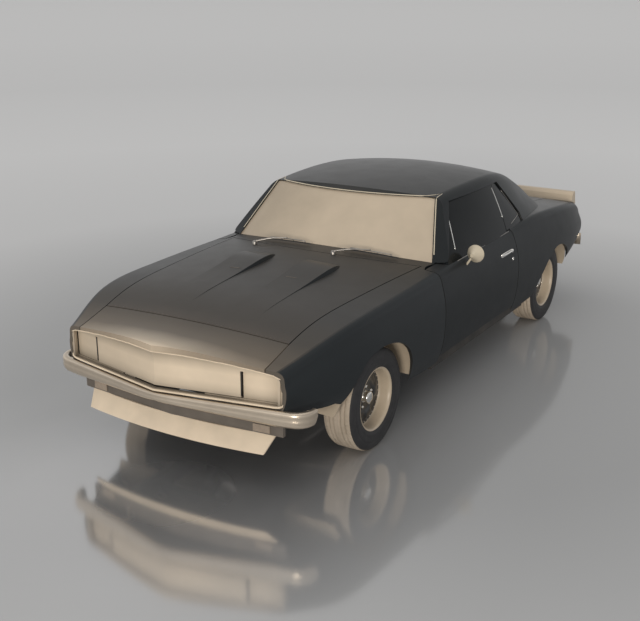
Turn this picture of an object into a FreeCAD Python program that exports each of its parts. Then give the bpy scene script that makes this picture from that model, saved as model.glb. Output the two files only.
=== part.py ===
import FreeCAD, Part
import os
from math import sqrt

V = FreeCAD.Vector

# Overall sizes in millimetres: the front faces -Y, the driver's side is +X, the ground is z = 0
half_length = 2346
half_width = 921
roof_height = 1306
body_height = 1306
wheelbase = 2755
front_axle_y = -1417
rear_axle_y = front_axle_y + wheelbase
panel_gap = 6
running_gap = 0.3
overrun = 40
skin = 20
blend_radius = 40

# Wheels and tyres
tyre_radius = 306
tyre_width = 200
wheel_centre_x = half_width - 169
rim_radius = 188
rim_width = 176
rim_wall = 7
disc_inset = 0
disc_thickness = 10
hub_radius = 62
cap_radius = 34
cap_height = 41
bore_radius = 18
bore_clearance = 0.08
lug_circle_radius = 58
lug_radius = 9
lug_height = 12
lug_count = 5
tyre_bead_radius = 176
tyre_shoulder = 34
tyre_tread_half = 82

# Wheel openings and liners
rear_arch_front_y = 930
rear_arch_rise_y = 1150
rear_arch_back_y = 1640
rear_arch_end_y = 1735
rear_arch_top = 605
rear_arch_mid_z = 520
rear_arch_low_z = 200
liner_radius = 385
liner_wall = 8
liner_inner_x = 455
rear_liner_inner_x = 600
front_liner_bottom_z = 330
rear_liner_bottom_z = 372

# Doors
door_front_y = -665
door_rear_y = 530
door_bottom_z = 338
door_inner_x = half_width - 156
door_shut_slant = 16
door_gap = 8
fender_hem = 7
hinge_x = half_width - 36
hinge_y = -605
hinge_radius = 7
hinge_height = 46
hinge_zs = (465, 685)
strap_thickness = 12
strap_root = 24
post_inner_x = half_width - 221
post_rear_y = -400
sill_top_z = 330
sill_bottom_z = 236
belt_z = 903
window_low_z = 856

# Hood, header and deck
header_seam_y = -half_length + 346
nose_wall_half = half_width - 231
nose_wall_setback = 30
hood_front_half = half_width - 288
hood_rear_half = half_width - 206
hood_rear_y = -815
nose_centre_y = -half_length - 6
nose_corner_y = -half_length + 141
nose_corner_x = half_width - 184
bulge_x = 238
bulge_half = 106
bulge_flank = 14
bulge_rear_y = -985
bulge_front_y = -half_length + 386
bulge_height = 15
bulge_root = 8
deck_front_y = 1650
deck_rear_y = half_length - 156
deck_half = half_width - 311
deck_low_z = 713
shelf_z = 820
tail_centre_y = half_length - 84
tail_corner_y = half_length - 156
tail_corner_x = half_width - 121

# Cabin
cabin_base_z = 690
glass_inset = 9
glass_thickness = 6
windscreen_radius = 1550
windscreen_base_y = -720
windscreen_base_z = 889
windscreen_lean = 1.05
pillar_wall = 34
pillar_foot_z = 894
windscreen_half_low = half_width - 179
windscreen_half_high = half_width - 315
windscreen_low_z = 889
windscreen_high_z = 1238
side_front_low_y = -468
side_front_high_y = -150
side_high_z = 1206
side_rear_high_y = 640
side_rear_low_y = 800
side_rear_low_z = 965
door_glass_rear_low_y = 470
door_glass_rear_high_y = 545
backlight_front_y = 900
backlight_rear_y = 1530
backlight_front_half = half_width - 376
backlight_rear_half = half_width - 321

# Front face
grille_low_z = 522
grille_high_z = 700
grille_setback = 14
grille_gap = 14
grille_thickness = 10
lamp_door_thickness = 9
runner_depth = 22
lamp_door_seam_x = half_width - 429
runner_length = 210
grille_end_x = half_width - 205
frame_wall = 14
frame_depth = 26
lamp_radius = 88
lamp_depth = 70
lamp_x = half_width - 316
lamp_setback = 26
bumper_centre_z = 461
bumper_height = 90
bumper_depth = 58
bumper_turn = 110
bumper_wrap_depth = 34
bumper_bow = 34
bumper_taper = 46
bumper_arm_half = 12
bumper_front_y = -half_length - 29
bumper_corner_x = half_width - 151
bumper_corner_y = -half_length + 131
bumper_end_x = half_width - 53
bumper_end_y = -half_length + 256
valance_top_z = 424
valance_bottom_z = 320
valance_centre_y = -half_length + 131
valance_corner_y = -half_length + 196
valance_corner_x = half_width - 231
valance_wall = 22
parking_lamp_x = half_width - 357
parking_lamp_width = 100
parking_lamp_height = 42
parking_lamp_z = 350
dam_top_z = valance_bottom_z
dam_bottom_z = 228
dam_top_centre_y = -half_length + 136
dam_top_corner_y = -half_length + 203
dam_top_half = half_width - 281
dam_bottom_centre_y = -half_length + 74
dam_bottom_corner_y = -half_length + 130
dam_bottom_half = half_width - 314
dam_wall = 14

# Rear face
rear_bumper_y = half_length - 11
rear_bumper_z = 480
rear_bumper_height = 104
rear_bumper_depth = 56
rear_bumper_half = half_width - 109
rear_bumper_corner_y = half_length - 64
rear_bumper_corner_x = half_width - 174
rear_bumper_end_y = half_length - 134
tail_lamp_x = half_width - 401
tail_lamp_width = 400
tail_lamp_height = 92
tail_lamp_z = 655
tail_lamp_depth = 8
spoiler_half = half_width - 151
spoiler_front_y = half_length - 226
spoiler_sweep = 25
spoiler_depth = 112
spoiler_top_z = 884
spoiler_base_z = 750

# Structure below and inside
floor_wall = 24
floor_front_y = -700
floor_step_y = 820
floor_kick_y = 1000
floor_kick_z = 430
trunk_floor_z = 400
tunnel_half = 120
tunnel_height = 170
firewall_y = -700
firewall_wall = 26
firewall_half = half_width - 161
rail_x = 400
rail_width = 60
rail_height = 90
rail_z = 336
rail_front_y = -half_length + 116
cross_width = 110
cross_height = 70
cross_z = 200
arm_z = 169
arm_height = 24
arm_end_x = half_width - 250
ball_pin_radius = 11
ball_gap = 7
arm_end_width = 30
arm_root_width = 200
kingpin_x = half_width - 261
knuckle_height = 210
knuckle_width = 34
drum_radius = 140
drum_depth = 44
drum_inset = 26
axle_tube_radius = 40
axle_tube_half = half_width - 281
diff_radius = 114
spring_x = 555
spring_width = 58
spring_thickness = 26
spring_reach = 400
spring_sag = 66
exhaust_x = 210
exhaust_radius = 26
exhaust_z = 190
exhaust_front_y = -1230
exhaust_rear_y = half_length - 146
muffler_radius = 65
muffler_length = 480
muffler_z = 250
muffler_front_y = 1560
hanger_size = 22
hanger_ys = (-100, 640)
engine_length = 720
engine_width = 560
engine_height = 520
engine_y = -1400
radiator_y = -1930
radiator_half = 330
radiator_height = 370
radiator_z = 400
radiator_depth = 60
dash_y = -520
dash_depth = 170
dash_z = 690
dash_height = 158
column_length = 330
column_radius = 26
column_tilt = 24
steering_x = 355
steering_y = -170
steering_z = 815
steering_radius = 195
steering_rim_radius = 13
seat_x = 355
seat_half = 245
seat_front_y = -160
seat_rear_y = 330
seat_cushion_z = 470
seat_back_top_z = 900
seat_back_thickness = 130
seat_back_lean = 130
rear_seat_half = 560
rear_seat_front_y = 700
rear_seat_rear_y = 1150
rear_seat_cushion_z = 480
rear_seat_back_top_z = 812

# Mirror on the driver's door
mirror_x = half_width - 8
mirror_y = -243
mirror_z = 906
mirror_radius = 58
mirror_depth = 62
mirror_tip_radius = 12
mirror_stalk_radius = 7

# Stations of the lower body, front to rear: place, widest, crease width, crease height,
# height on the centre line, bottom height, bottom width
body_station_shares = (
    (-1.032, 0.760, 0.749, 0.505, 0.567, 0.329, 0.673),
    (-0.940, 0.812, 0.800, 0.538, 0.587, 0.322, 0.717),
    (-0.874, 0.869, 0.850, 0.578, 0.601, 0.306, 0.782),
    (-0.789, 0.934, 0.907, 0.622, 0.642, 0.295, 0.858),
    (-0.604, 0.983, 0.939, 0.651, 0.685, 0.253, 0.923),
    (-0.426, 0.990, 0.942, 0.658, 0.708, 0.199, 0.917),
    (-0.256, 0.993, 0.936, 0.664, 0.716, 0.188, 0.914),
    (0.000, 0.997, 0.923, 0.680, 0.704, 0.184, 0.912),
    (0.234, 0.999, 0.925, 0.687, 0.712, 0.180, 0.912),
    (0.426, 1.000, 0.936, 0.698, 0.716, 0.184, 0.912),
    (0.570, 1.000, 0.942, 0.686, 0.702, 0.222, 0.912),
    (0.746, 0.983, 0.928, 0.657, 0.675, 0.283, 0.890),
    (0.874, 0.939, 0.885, 0.620, 0.632, 0.329, 0.836),
    (0.980, 0.885, 0.831, 0.550, 0.566, 0.375, 0.771),
)
body_widest_share = 0.452

# Stations of a hood bulge, rear to front: run, half width and height above the hood
bulge_shares = ((0.0, 0.93, 0.20), (0.035, 0.99, 0.95), (0.30, 1.0, 1.0), (0.62, 0.98, 0.66),
                (0.86, 0.93, 0.20),
                (1.0, 0.90, -0.10))

# Section of the spoiler, front to rear: run and rise
spoiler_section_shares = ((0.0, 0.0), (0.0, 0.38), (0.14, 0.80), (0.32, 0.98), (0.60, 1.0), (0.66, 0.92),
                          (0.84, 0.30),
                         (0.86, 0.0))

# Section of a bumper blade, bottom to top: height and setback of its face
blade_section_shares = ((-0.50, 0.62), (-0.36, 0.24), (-0.10, 0.02), (0.16, 0.0), (0.38, 0.18), (0.50, 0.52))

# Edge of the front wheel opening, front to rear: run from the axle and height above the ground, in tyre radii
front_arch_shares = (
    (-1.40, 0.65), (-1.30, 1.21), (-1.12, 1.51), (-0.70, 1.98), (-0.20, 2.11), (0.38, 2.04),
    (0.84, 1.80), (1.05, 1.50), (1.12, 1.14), (1.13, 0.65),
)

# Stations of the cabin: place, base width, rail width, rail height, height on the centre line
cabin_station_shares = (
    (-0.324, 1.008, 0.695, 0.881, 0.930),
    (-0.072, 1.010, 0.711, 0.946, 0.984),
    (0.128, 1.010, 0.722, 0.959, 1.000),
    (0.298, 1.010, 0.711, 0.948, 0.989),
    (0.405, 1.010, 0.686, 0.915, 0.953),
    (0.512, 1.008, 0.651, 0.850, 0.888),
    (0.605, 1.000, 0.621, 0.781, 0.815),
    (0.654, 0.990, 0.606, 0.731, 0.752),
    (0.710, 0.980, 0.590, 0.655, 0.668),
)


def box(x0, x1, y0, y1, z0, z1):
    return Part.makeBox(x1 - x0, y1 - y0, z1 - z0, V(x0, y0, z0))


def extruded(points, travel):
    wire = Part.makePolygon(points + points[:1])
    return Part.Face(wire).extrude(travel)


def side_prism(outline, x0, x1):
    return extruded([V(x0, y, z) for y, z in outline], V(x1 - x0, 0, 0))


def plan_prism(outline, z0, z1):
    return extruded([V(x, y, z0) for x, y in outline], V(0, 0, z1 - z0))


def front_prism(outline, y0, y1):
    return extruded([V(x, y0, z) for x, z in outline], V(0, y1 - y0, 0))


def mirrored(shape):
    return shape.mirror(V(0, 0, 0), V(1, 0, 0))


def both_sides(shape):
    return Part.makeCompound([shape, mirrored(shape)])


def bezier(poles):
    curve = Part.BezierCurve()
    curve.setPoles(poles)
    return curve.toShape()


def spline(points):
    curve = Part.BSplineCurve()
    curve.interpolate(points)
    return curve.toShape()


def largest(shape):
    return max(shape.Solids, key=lambda solid: solid.Volume)


def body_section(shares, inset, lift, drop):
    place, widest, crease_w, crease_z, top_z, low_z, low_w = shares
    y = place * half_length
    w = widest * half_width - inset
    cx = crease_w * half_width - inset
    cz = crease_z * body_height - inset + lift
    top = top_z * body_height - inset + lift
    low = low_z * body_height - drop
    lx = low_w * half_width - inset
    wz = body_widest_share * body_height
    rise = 2 * (top - cz) / cx * blend_radius
    side_end = (cx + (w - cx) * 0.22, cz - blend_radius)
    crown_end = (cx - blend_radius, cz + rise)
    lower = [(lx, low), (lx + (w - lx) * 0.75, low + (wz - low) * 0.30),
             (w, low + (wz - low) * 0.60), (w, wz)]
    bend = (side_end[0] * 2.6 - cx * 1.6, side_end[1] - blend_radius * 1.6)
    upper = [(w, wz), (w, (wz + side_end[1]) / 2), bend, side_end]
    shoulder = [side_end, (cx, cz), crown_end]
    right = [bezier([V(x, y, z) for x, z in run]) for run in (lower, upper, shoulder)]
    left = [bezier([V(-x, y, z) for x, z in run[::-1]]) for run in (shoulder, upper, lower)]
    crown = bezier([V(crown_end[0], y, crown_end[1]), V(0, y, 2 * top - crown_end[1]),
                    V(-crown_end[0], y, crown_end[1])])
    base = Part.makeLine(V(-lx, y, low), V(lx, y, low))
    return Part.Wire([base] + right + [crown] + left)


def body_form(inset=0, lift=0, drop=0, ruled=False):
    wires = [body_section(shares, inset, lift, drop) for shares in body_station_shares]
    return Part.makeLoft(wires, True, ruled)


def cabin_section(shares, inset):
    place, base_w, rail_w, rail_z, top_z = shares
    y = place * half_length
    bx = base_w * half_width - inset
    rx = rail_w * half_width - inset
    rz = rail_z * roof_height - inset
    top = top_z * roof_height - inset
    run = (bx - rx) / (rz - cabin_base_z)
    reach = 1.4 * blend_radius
    side_end = (rx + run * reach, rz - reach)
    crown_end = (rx - reach, rz + 2 * (top - rz) / rx * reach)
    bow = (bx - rx) * 0.08
    side = [(bx, cabin_base_z),
            ((bx * 2 + side_end[0]) / 3 + bow, (cabin_base_z * 2 + side_end[1]) / 3),
            ((bx + side_end[0] * 2) / 3 + bow, (cabin_base_z + side_end[1] * 2) / 3), side_end]
    rail = [side_end, (rx, rz), crown_end]
    right = [bezier([V(x, y, z) for x, z in run_points]) for run_points in (side, rail)]
    left = [bezier([V(-x, y, z) for x, z in run_points[::-1]]) for run_points in (rail, side)]
    crown = bezier([V(crown_end[0], y, crown_end[1]), V(0, y, 2 * top - crown_end[1]),
                    V(-crown_end[0], y, crown_end[1])])
    base = Part.makeLine(V(-bx, y, cabin_base_z), V(bx, y, cabin_base_z))
    return Part.Wire([base] + right + [crown] + left)


def leaned_screen(setback):
    low_z = cabin_base_z - overrun * 3
    tall = roof_height - low_z + overrun
    centre_y = windscreen_base_y + (low_z - windscreen_base_z) * windscreen_lean + setback
    sag = windscreen_radius - sqrt(windscreen_radius ** 2 - half_width ** 2)
    ends = [V(-half_width, centre_y + sag, low_z), V(half_width, centre_y + sag, low_z)]
    front = Part.Arc(ends[0], V(0, centre_y, low_z), ends[1]).toShape()
    back = [V(half_width, half_length, low_z), V(-half_width, half_length, low_z)]
    rest = Part.makePolygon([ends[1]] + back + [ends[0]])
    face = Part.Face(Part.Wire([front] + rest.Edges))
    return face.extrude(V(0, tall * windscreen_lean, tall))


def cabin_form(inset=0, ruled=False):
    wires = [cabin_section(shares, inset) for shares in cabin_station_shares]
    slope = sqrt(1 + windscreen_lean ** 2)
    return Part.makeLoft(wires, True, ruled).common(leaned_screen(inset * slope))


def nose_prism(setback=0):
    outline = [(0, nose_centre_y + setback), (nose_corner_x, nose_corner_y + setback),
               (half_width + overrun, nose_corner_y + setback + overrun),
               (half_width + overrun, half_length + overrun)]
    both = outline + [(-x, y) for x, y in outline[:0:-1]]
    return plan_prism(both, 0, roof_height)


def tail_prism(setback=0):
    outline = [(tail_corner_x, tail_corner_y - setback), (half_width + overrun, tail_corner_y - setback),
               (half_width + overrun, -half_length - overrun)]
    face_edge = Part.Arc(V(-tail_corner_x, tail_corner_y - setback, 0), V(0, tail_centre_y - setback, 0),
                         V(tail_corner_x, tail_corner_y - setback, 0)).toShape()
    both = outline + [(-x, y) for x, y in outline[::-1]]
    rest = Part.makePolygon([V(x, y, 0) for x, y in both])
    face = Part.Face(Part.Wire([face_edge] + rest.Edges))
    return face.extrude(V(0, 0, roof_height))


def hood_plan(grow):
    half_front = hood_front_half + grow
    half_rear = hood_rear_half + grow
    sag = windscreen_radius - sqrt(windscreen_radius ** 2 - half_rear ** 2)
    rear_y = hood_rear_y + grow
    front_y = header_seam_y - grow
    corners = [V(half_rear, rear_y + sag, 0), V(half_front, front_y, 0),
               V(-half_front, front_y, 0), V(-half_rear, rear_y + sag, 0)]
    rear = Part.Arc(corners[3], V(0, rear_y, 0), corners[0]).toShape()
    face = Part.Face(Part.Wire([rear] + Part.makePolygon(corners).Edges))
    return face.extrude(V(0, 0, roof_height))


def deck_plan(grow):
    return box(-deck_half - grow, deck_half + grow, deck_front_y - grow, deck_rear_y + grow,
               deck_low_z, roof_height)


def door_prism(grow, x0, x1):
    front = door_front_y - grow
    rear = door_rear_y + grow
    low = door_bottom_z - grow
    outline = [(front, roof_height), (front, low), (rear, low), (rear, roof_height)]
    return side_prism(outline, x0, x1)


def rear_arch_outline():
    return [(rear_arch_front_y, rear_arch_low_z), (rear_arch_rise_y, rear_arch_mid_z),
            (rear_axle_y, rear_arch_top), (rear_arch_back_y, rear_arch_mid_z),
            (rear_arch_end_y, rear_arch_low_z)]


def rear_arch_cut(x0, x1):
    return arch_prism(rear_arch_outline(), x0, x1)


def arch_prism(outline, x0, x1):
    points = [V(x0, y, z) for y, z in outline]
    curve = spline(points)
    foot = Part.makeLine(points[-1], points[0])
    return Part.Face(Part.Wire([curve, foot])).extrude(V(x1 - x0, 0, 0))


def front_arch_cut(x0, x1):
    outline = [(front_axle_y + run * tyre_radius, rise * tyre_radius) for run, rise in front_arch_shares]
    return arch_prism(outline, x0, x1)


def arches():
    out = half_width + overrun
    cut = [front_arch_cut(rail_x, out), rear_arch_cut(rear_liner_inner_x, out)]
    return Part.makeCompound(cut + [mirrored(shape) for shape in cut])


def build_shell():
    outer = body_form().common(nose_prism()).common(tail_prism())
    inner = body_form(skin, 0, overrun * 2, True)
    return outer, outer.cut(inner).cut(arches())


def build_fenders(shell):
    region = box(0, half_width + overrun, -half_length - overrun, door_front_y - door_gap,
                 0, roof_height)
    panel = shell.common(region).cut(hood_plan(panel_gap))
    header = box(-hood_front_half - panel_gap, hood_front_half + panel_gap,
                 -half_length - overrun, header_seam_y, 0, roof_height)
    cowl = box(-hood_rear_half - panel_gap, hood_rear_half + panel_gap, hood_rear_y - overrun, 0,
               0, roof_height)
    hem = box(0, half_width, door_front_y - overrun, 0, 0, roof_height).common(body_form(fender_hem))
    right = largest(panel.cut(header).cut(cowl).cut(hem))
    return both_sides(right)


def build_header(shell):
    region = box(-hood_front_half, hood_front_half, -half_length - overrun,
                 header_seam_y - panel_gap, body_widest_share * body_height, roof_height)
    wall = box(-nose_wall_half, nose_wall_half, header_seam_y - nose_wall_setback - skin,
               header_seam_y - nose_wall_setback, valance_top_z, roof_height)
    inner = body_form(skin, 0, overrun * 2, True)
    pads = [hood_pad(hood_front_half - overrun * 2, header_seam_y + skin * 2,
                     header_seam_y - nose_wall_setback)]
    pads.append(mirrored(pads[0]))
    return largest(shell.common(region).fuse([wall.common(inner)])).fuse(pads).removeSplitter()


def hood_pad(x, y, wall_y):
    """Rubber stop on a bracket, just under the inner face of the hood."""
    under = body_form(skin + running_gap, 0, overrun * 2, True)
    pad = box(x - skin, x + skin, wall_y, y, belt_z - overrun * 7, roof_height)
    return pad.common(under)


def build_cowl(shell, cabin_inner):
    post_x = door_inner_x - door_gap
    region = box(-post_x, post_x, hood_rear_y - overrun, door_front_y + overrun * 5,
                 body_widest_share * body_height, roof_height)
    top = shell.common(region).cut(hood_plan(panel_gap)).cut(cabin_inner).cut(fender_region(0))
    top = largest(top.cut(both_sides(swing_room(roof_height))))
    inner = body_form(skin + running_gap, 0, overrun * 2, True)
    wall = box(-firewall_half, firewall_half, firewall_y, firewall_y + firewall_wall,
               sill_bottom_z, belt_z).common(inner)
    post = box(post_inner_x, post_x, firewall_y + firewall_wall, post_rear_y, sill_top_z, belt_z)
    post = post.cut(swing_room(belt_z))
    parts = [wall]
    for side in (post.common(inner),):
        parts += [side, mirrored(side)]
    for z in hinge_zs:
        barrel = Part.makeCylinder(hinge_radius, hinge_height, V(hinge_x, hinge_y, z - hinge_height / 2))
        strap = box(post_x - strap_root, hinge_x, hinge_y - strap_thickness / 2,
                    hinge_y + strap_thickness / 2,
                    z - hinge_height / 2, z + hinge_height / 2)
        hinge = barrel.fuse(strap)
        parts += [hinge, mirrored(hinge)]
    return top.fuse(parts).removeSplitter()


def fender_region(grow):
    half_front = hood_front_half + grow
    right = box(hood_rear_half + panel_gap, half_width + overrun, -half_length, door_front_y - door_gap,
                0, roof_height)
    return right.fuse(mirrored(right))


def station_value(y, column, size):
    """Value of one column of the body's table at a place between two stations."""
    for low, high in zip(body_station_shares, body_station_shares[1:]):
        if y <= high[0] * half_length:
            share = (y / half_length - low[0]) / (high[0] - low[0])
            return (low[column] + (high[column] - low[column]) * share) * size
    return body_station_shares[-1][column] * size


def hood_height(x, y):
    """Height of the outer skin over a point in front of the windscreen."""
    crease_x = station_value(y, 2, half_width)
    crease_z = station_value(y, 3, body_height)
    top = station_value(y, 4, body_height)
    edge_x = crease_x - blend_radius
    edge_z = crease_z + 2 * (top - crease_z) / crease_x * blend_radius
    return edge_z + (top - edge_z) * (1 - (x / edge_x) ** 2)


def hood_bulge():
    rings = []
    for run, width, rise in bulge_shares:
        y = bulge_rear_y + (bulge_front_y - bulge_rear_y) * run
        top = [bulge_x - bulge_half * width, bulge_x, bulge_x + bulge_half * width]
        outline = [(top[0] - bulge_flank, -bulge_root), (top[0], rise * bulge_height),
                   (top[1], rise * bulge_height), (top[2], rise * bulge_height),
                   (top[2] + bulge_flank, -bulge_root)]
        points = [V(x, y, hood_height(x, y) + lift) for x, lift in outline]
        rings.append(Part.makePolygon(points + points[:1]))
    return Part.makeLoft(rings, True)


def build_hood(outer):
    inner = body_form(skin, 0, overrun * 2, True)
    top = largest(outer.cut(inner).common(hood_plan(0)))
    bulge = hood_bulge()
    return top.fuse([bulge, mirrored(bulge)]).removeSplitter()


def build_door(outer):
    slab = outer.common(door_prism(0, door_inner_x, half_width + overrun))
    shut = [(door_inner_x - overrun, door_front_y - overrun),
            (door_inner_x - overrun, door_rear_y - door_shut_slant),
            (half_width + overrun, door_rear_y + door_shut_slant / 2),
            (half_width + overrun, door_front_y - overrun)]
    slab = slab.common(plan_prism(shut, 0, roof_height))
    reach = hinge_radius + strap_thickness / 4
    for z in hinge_zs:
        half = hinge_height / 2 + running_gap
        slab = slab.cut(box(0, hinge_x + reach, door_front_y - overrun, hinge_y + reach, z - half, z + half))
    return largest(slab)


def build_rear_body(shell, cabin_inner):
    out = half_width + overrun
    region = box(-out, out, door_rear_y + door_gap, half_length + overrun, 0, roof_height)
    tail_wall = body_form().common(tail_prism()).cut(tail_prism(skin))
    tail_wall = tail_wall.common(box(-half_width, half_width, tail_corner_y - overrun * 4, half_length,
                                     rear_bumper_z - rear_bumper_height, roof_height))
    inner = body_form(skin / 2, 0, overrun * 2, True)
    shelf = box(-out, out, rear_seat_rear_y + overrun, deck_front_y - panel_gap, shelf_z, shelf_z + skin)
    body = shell.common(region).cut(cabin_inner).fuse([tail_wall, shelf.common(inner)])
    body = body.cut(deck_plan(panel_gap))
    pad_y = deck_rear_y - overrun
    tail_y = tail_centre_y - skin
    under = body_form(skin + running_gap, 0, overrun * 2, True)
    pad = box(deck_half - overrun * 3, deck_half - overrun * 2, pad_y, tail_y, deck_low_z - overrun,
              roof_height).common(under)
    return largest(body.fuse([pad, mirrored(pad)])).cut(build_tail_lamps()).removeSplitter()


def build_trunk(outer):
    inner = body_form(skin, 0, overrun * 2, True)
    return largest(outer.cut(inner).common(deck_plan(0)))


def side_opening(x0, x1):
    lean = (side_front_high_y - side_front_low_y) / (side_high_z - belt_z)
    outline = [(side_front_low_y - lean * (belt_z - window_low_z), window_low_z),
               (side_front_high_y, side_high_z), (side_rear_high_y, side_high_z),
               (side_rear_low_y, side_rear_low_z), (side_rear_low_y, window_low_z)]
    return side_prism(outline, x0, x1)


def screen_opening():
    outline = [(windscreen_half_low, cabin_base_z + overrun), (windscreen_half_low, windscreen_low_z),
               (windscreen_half_high, windscreen_high_z), (-windscreen_half_high, windscreen_high_z),
               (-windscreen_half_low, windscreen_low_z), (-windscreen_half_low, cabin_base_z + overrun)]
    slope = sqrt(1 + windscreen_lean ** 2)
    return front_prism(outline, -half_length, overrun).cut(leaned_screen((pillar_wall + panel_gap) * slope))


def backlight_opening():
    outline = [(backlight_front_half, backlight_front_y), (backlight_rear_half, backlight_rear_y),
               (-backlight_rear_half, backlight_rear_y), (-backlight_front_half, backlight_front_y)]
    return plan_prism(outline, belt_z + overrun, roof_height)


def build_roof(cabin, cabin_inner):
    shell = cabin.cut(cabin_inner)
    out = half_width + overrun
    shell = shell.cut(side_opening(-out, out)).cut(screen_opening()).cut(backlight_opening())
    keep = box(-out, out, -half_length, deck_front_y - panel_gap, window_low_z - overrun,
               roof_height + overrun)
    over_door = door_clearance()
    shell = shell.common(keep).cut(both_sides(over_door)).cut(both_sides(swing_room(pillar_foot_z)))
    shell = shell.cut(body_form(-running_gap).common(nose_prism()).common(tail_prism()))
    return largest(shell)


def swing_room(top_z):
    """Space that the front inner corner of an opening door sweeps."""
    radius = sqrt((hinge_x - door_inner_x) ** 2 + (hinge_y - door_front_y) ** 2) + door_gap
    return Part.makeCylinder(radius, top_z, V(hinge_x, hinge_y, 0))


def door_clearance():
    """Space just above a door, which anything fixed has to leave free."""
    return body_form(-panel_gap).common(door_prism(door_gap, door_inner_x - door_gap, half_width + overrun))


def glass_layer():
    return cabin_form(glass_inset).cut(cabin_form(glass_inset + glass_thickness))


def build_windscreen(layer, outer):
    return largest(layer.common(screen_opening()).cut(outer))


def build_rear_glass(layer, outer):
    back = largest(layer.common(backlight_opening()).cut(outer))
    lean = (door_glass_rear_high_y - door_glass_rear_low_y) / (side_high_z - belt_z) * (belt_z - window_low_z)
    quarter = [(door_glass_rear_low_y + door_gap - lean, window_low_z),
               (door_glass_rear_high_y + door_gap, side_high_z), (side_rear_high_y, side_high_z),
               (side_rear_low_y, side_rear_low_z), (side_rear_low_y, window_low_z)]
    pane = layer.common(side_prism(quarter, 0, half_width + overrun))
    right = largest(pane.cut(outer).cut(door_clearance()))
    return Part.makeCompound([back, right, mirrored(right)])


def build_door_glass(layer, outer):
    drop = belt_z - window_low_z
    front_lean = (side_front_high_y - side_front_low_y) / (side_high_z - belt_z) * drop
    rear_lean = (door_glass_rear_high_y - door_glass_rear_low_y) / (side_high_z - belt_z) * drop
    outline = [(side_front_low_y + door_gap - front_lean, window_low_z),
               (side_front_high_y + door_gap, side_high_z - panel_gap),
               (door_glass_rear_high_y, side_high_z - panel_gap),
               (door_glass_rear_low_y - rear_lean, window_low_z)]
    return largest(layer.common(side_prism(outline, 0, half_width + overrun)).cut(outer))


def vee_plate(centre_y, corner_y, corner_x, half_from, half_to, depth, low, high):
    """Upright plate that follows the vee of the nose between two half widths."""
    rise = (corner_y - centre_y) / corner_x
    near = [(half_from, centre_y + rise * abs(half_from)), (half_to, centre_y + rise * abs(half_to))]
    if half_from * half_to < 0:
        near = [near[0], (0, centre_y), near[1]]
    outline = near + [(x, y + depth) for x, y in near[::-1]]
    return plan_prism(outline, low, high)


def grille_hole(half, top):
    return vee_plate(nose_centre_y - overrun, nose_corner_y - overrun, nose_corner_x, -half, half,
                     frame_depth + overrun * 2, grille_low_z, top)


def build_grille():
    front = nose_centre_y + grille_setback
    corner = nose_corner_y + grille_setback
    panel = vee_plate(front, corner, nose_corner_x, -lamp_door_seam_x, lamp_door_seam_x,
                      grille_thickness, grille_low_z + grille_gap, belt_z)
    outer = vee_plate(nose_centre_y, nose_corner_y, nose_corner_x, -grille_end_x, grille_end_x,
                      frame_depth, grille_low_z - frame_wall, belt_z)
    under = body_form(skin + frame_wall, 0, overrun * 2, True)
    frame = outer.cut(grille_hole(grille_end_x - frame_wall, grille_high_z - frame_wall))
    frame = frame.cut(grille_hole(lamp_door_seam_x, belt_z).common(under))
    runners = []
    for low, high in ((grille_low_z, grille_low_z + panel_gap - running_gap),
                      (grille_high_z - frame_wall - panel_gap + running_gap, grille_high_z - frame_wall)):
        runner = vee_plate(front + grille_thickness, corner + grille_thickness, nose_corner_x,
                           lamp_door_seam_x - runner_length, grille_end_x,
                           runner_depth + panel_gap - grille_thickness, low, high)
        runners += [runner, mirrored(runner)]
    inner = body_form(skin + running_gap, 0, overrun * 2, True)
    return panel.fuse([frame] + runners).common(inner).removeSplitter()


def build_lamp_door():
    front = nose_centre_y + grille_setback + grille_thickness + panel_gap
    corner = nose_corner_y + grille_setback + grille_thickness + panel_gap
    return vee_plate(front, corner, nose_corner_x, lamp_door_seam_x + panel_gap,
                     grille_end_x - frame_wall - panel_gap,
                     lamp_door_thickness, grille_low_z + panel_gap, grille_high_z - frame_wall - panel_gap)


def build_lamps():
    lamp_y = nose_centre_y + (nose_corner_y - nose_centre_y) * lamp_x / nose_corner_x
    lamp_y += grille_setback + grille_thickness + panel_gap + lamp_door_thickness + lamp_setback
    mid_z = (grille_low_z + grille_high_z) / 2
    bowl = Part.makeCylinder(lamp_radius, lamp_depth, V(lamp_x, lamp_y, mid_z), V(0, 1, 0))
    bracket = box(lamp_x - lamp_radius / 2, lamp_x + lamp_radius / 2, lamp_y + lamp_depth,
                  header_seam_y - nose_wall_setback - skin, mid_z - lamp_radius / 2, mid_z + lamp_radius / 2)
    right = [bowl.fuse(bracket), build_parking_lamp()]
    return Part.makeCompound(right + [mirrored(shape) for shape in right])


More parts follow.
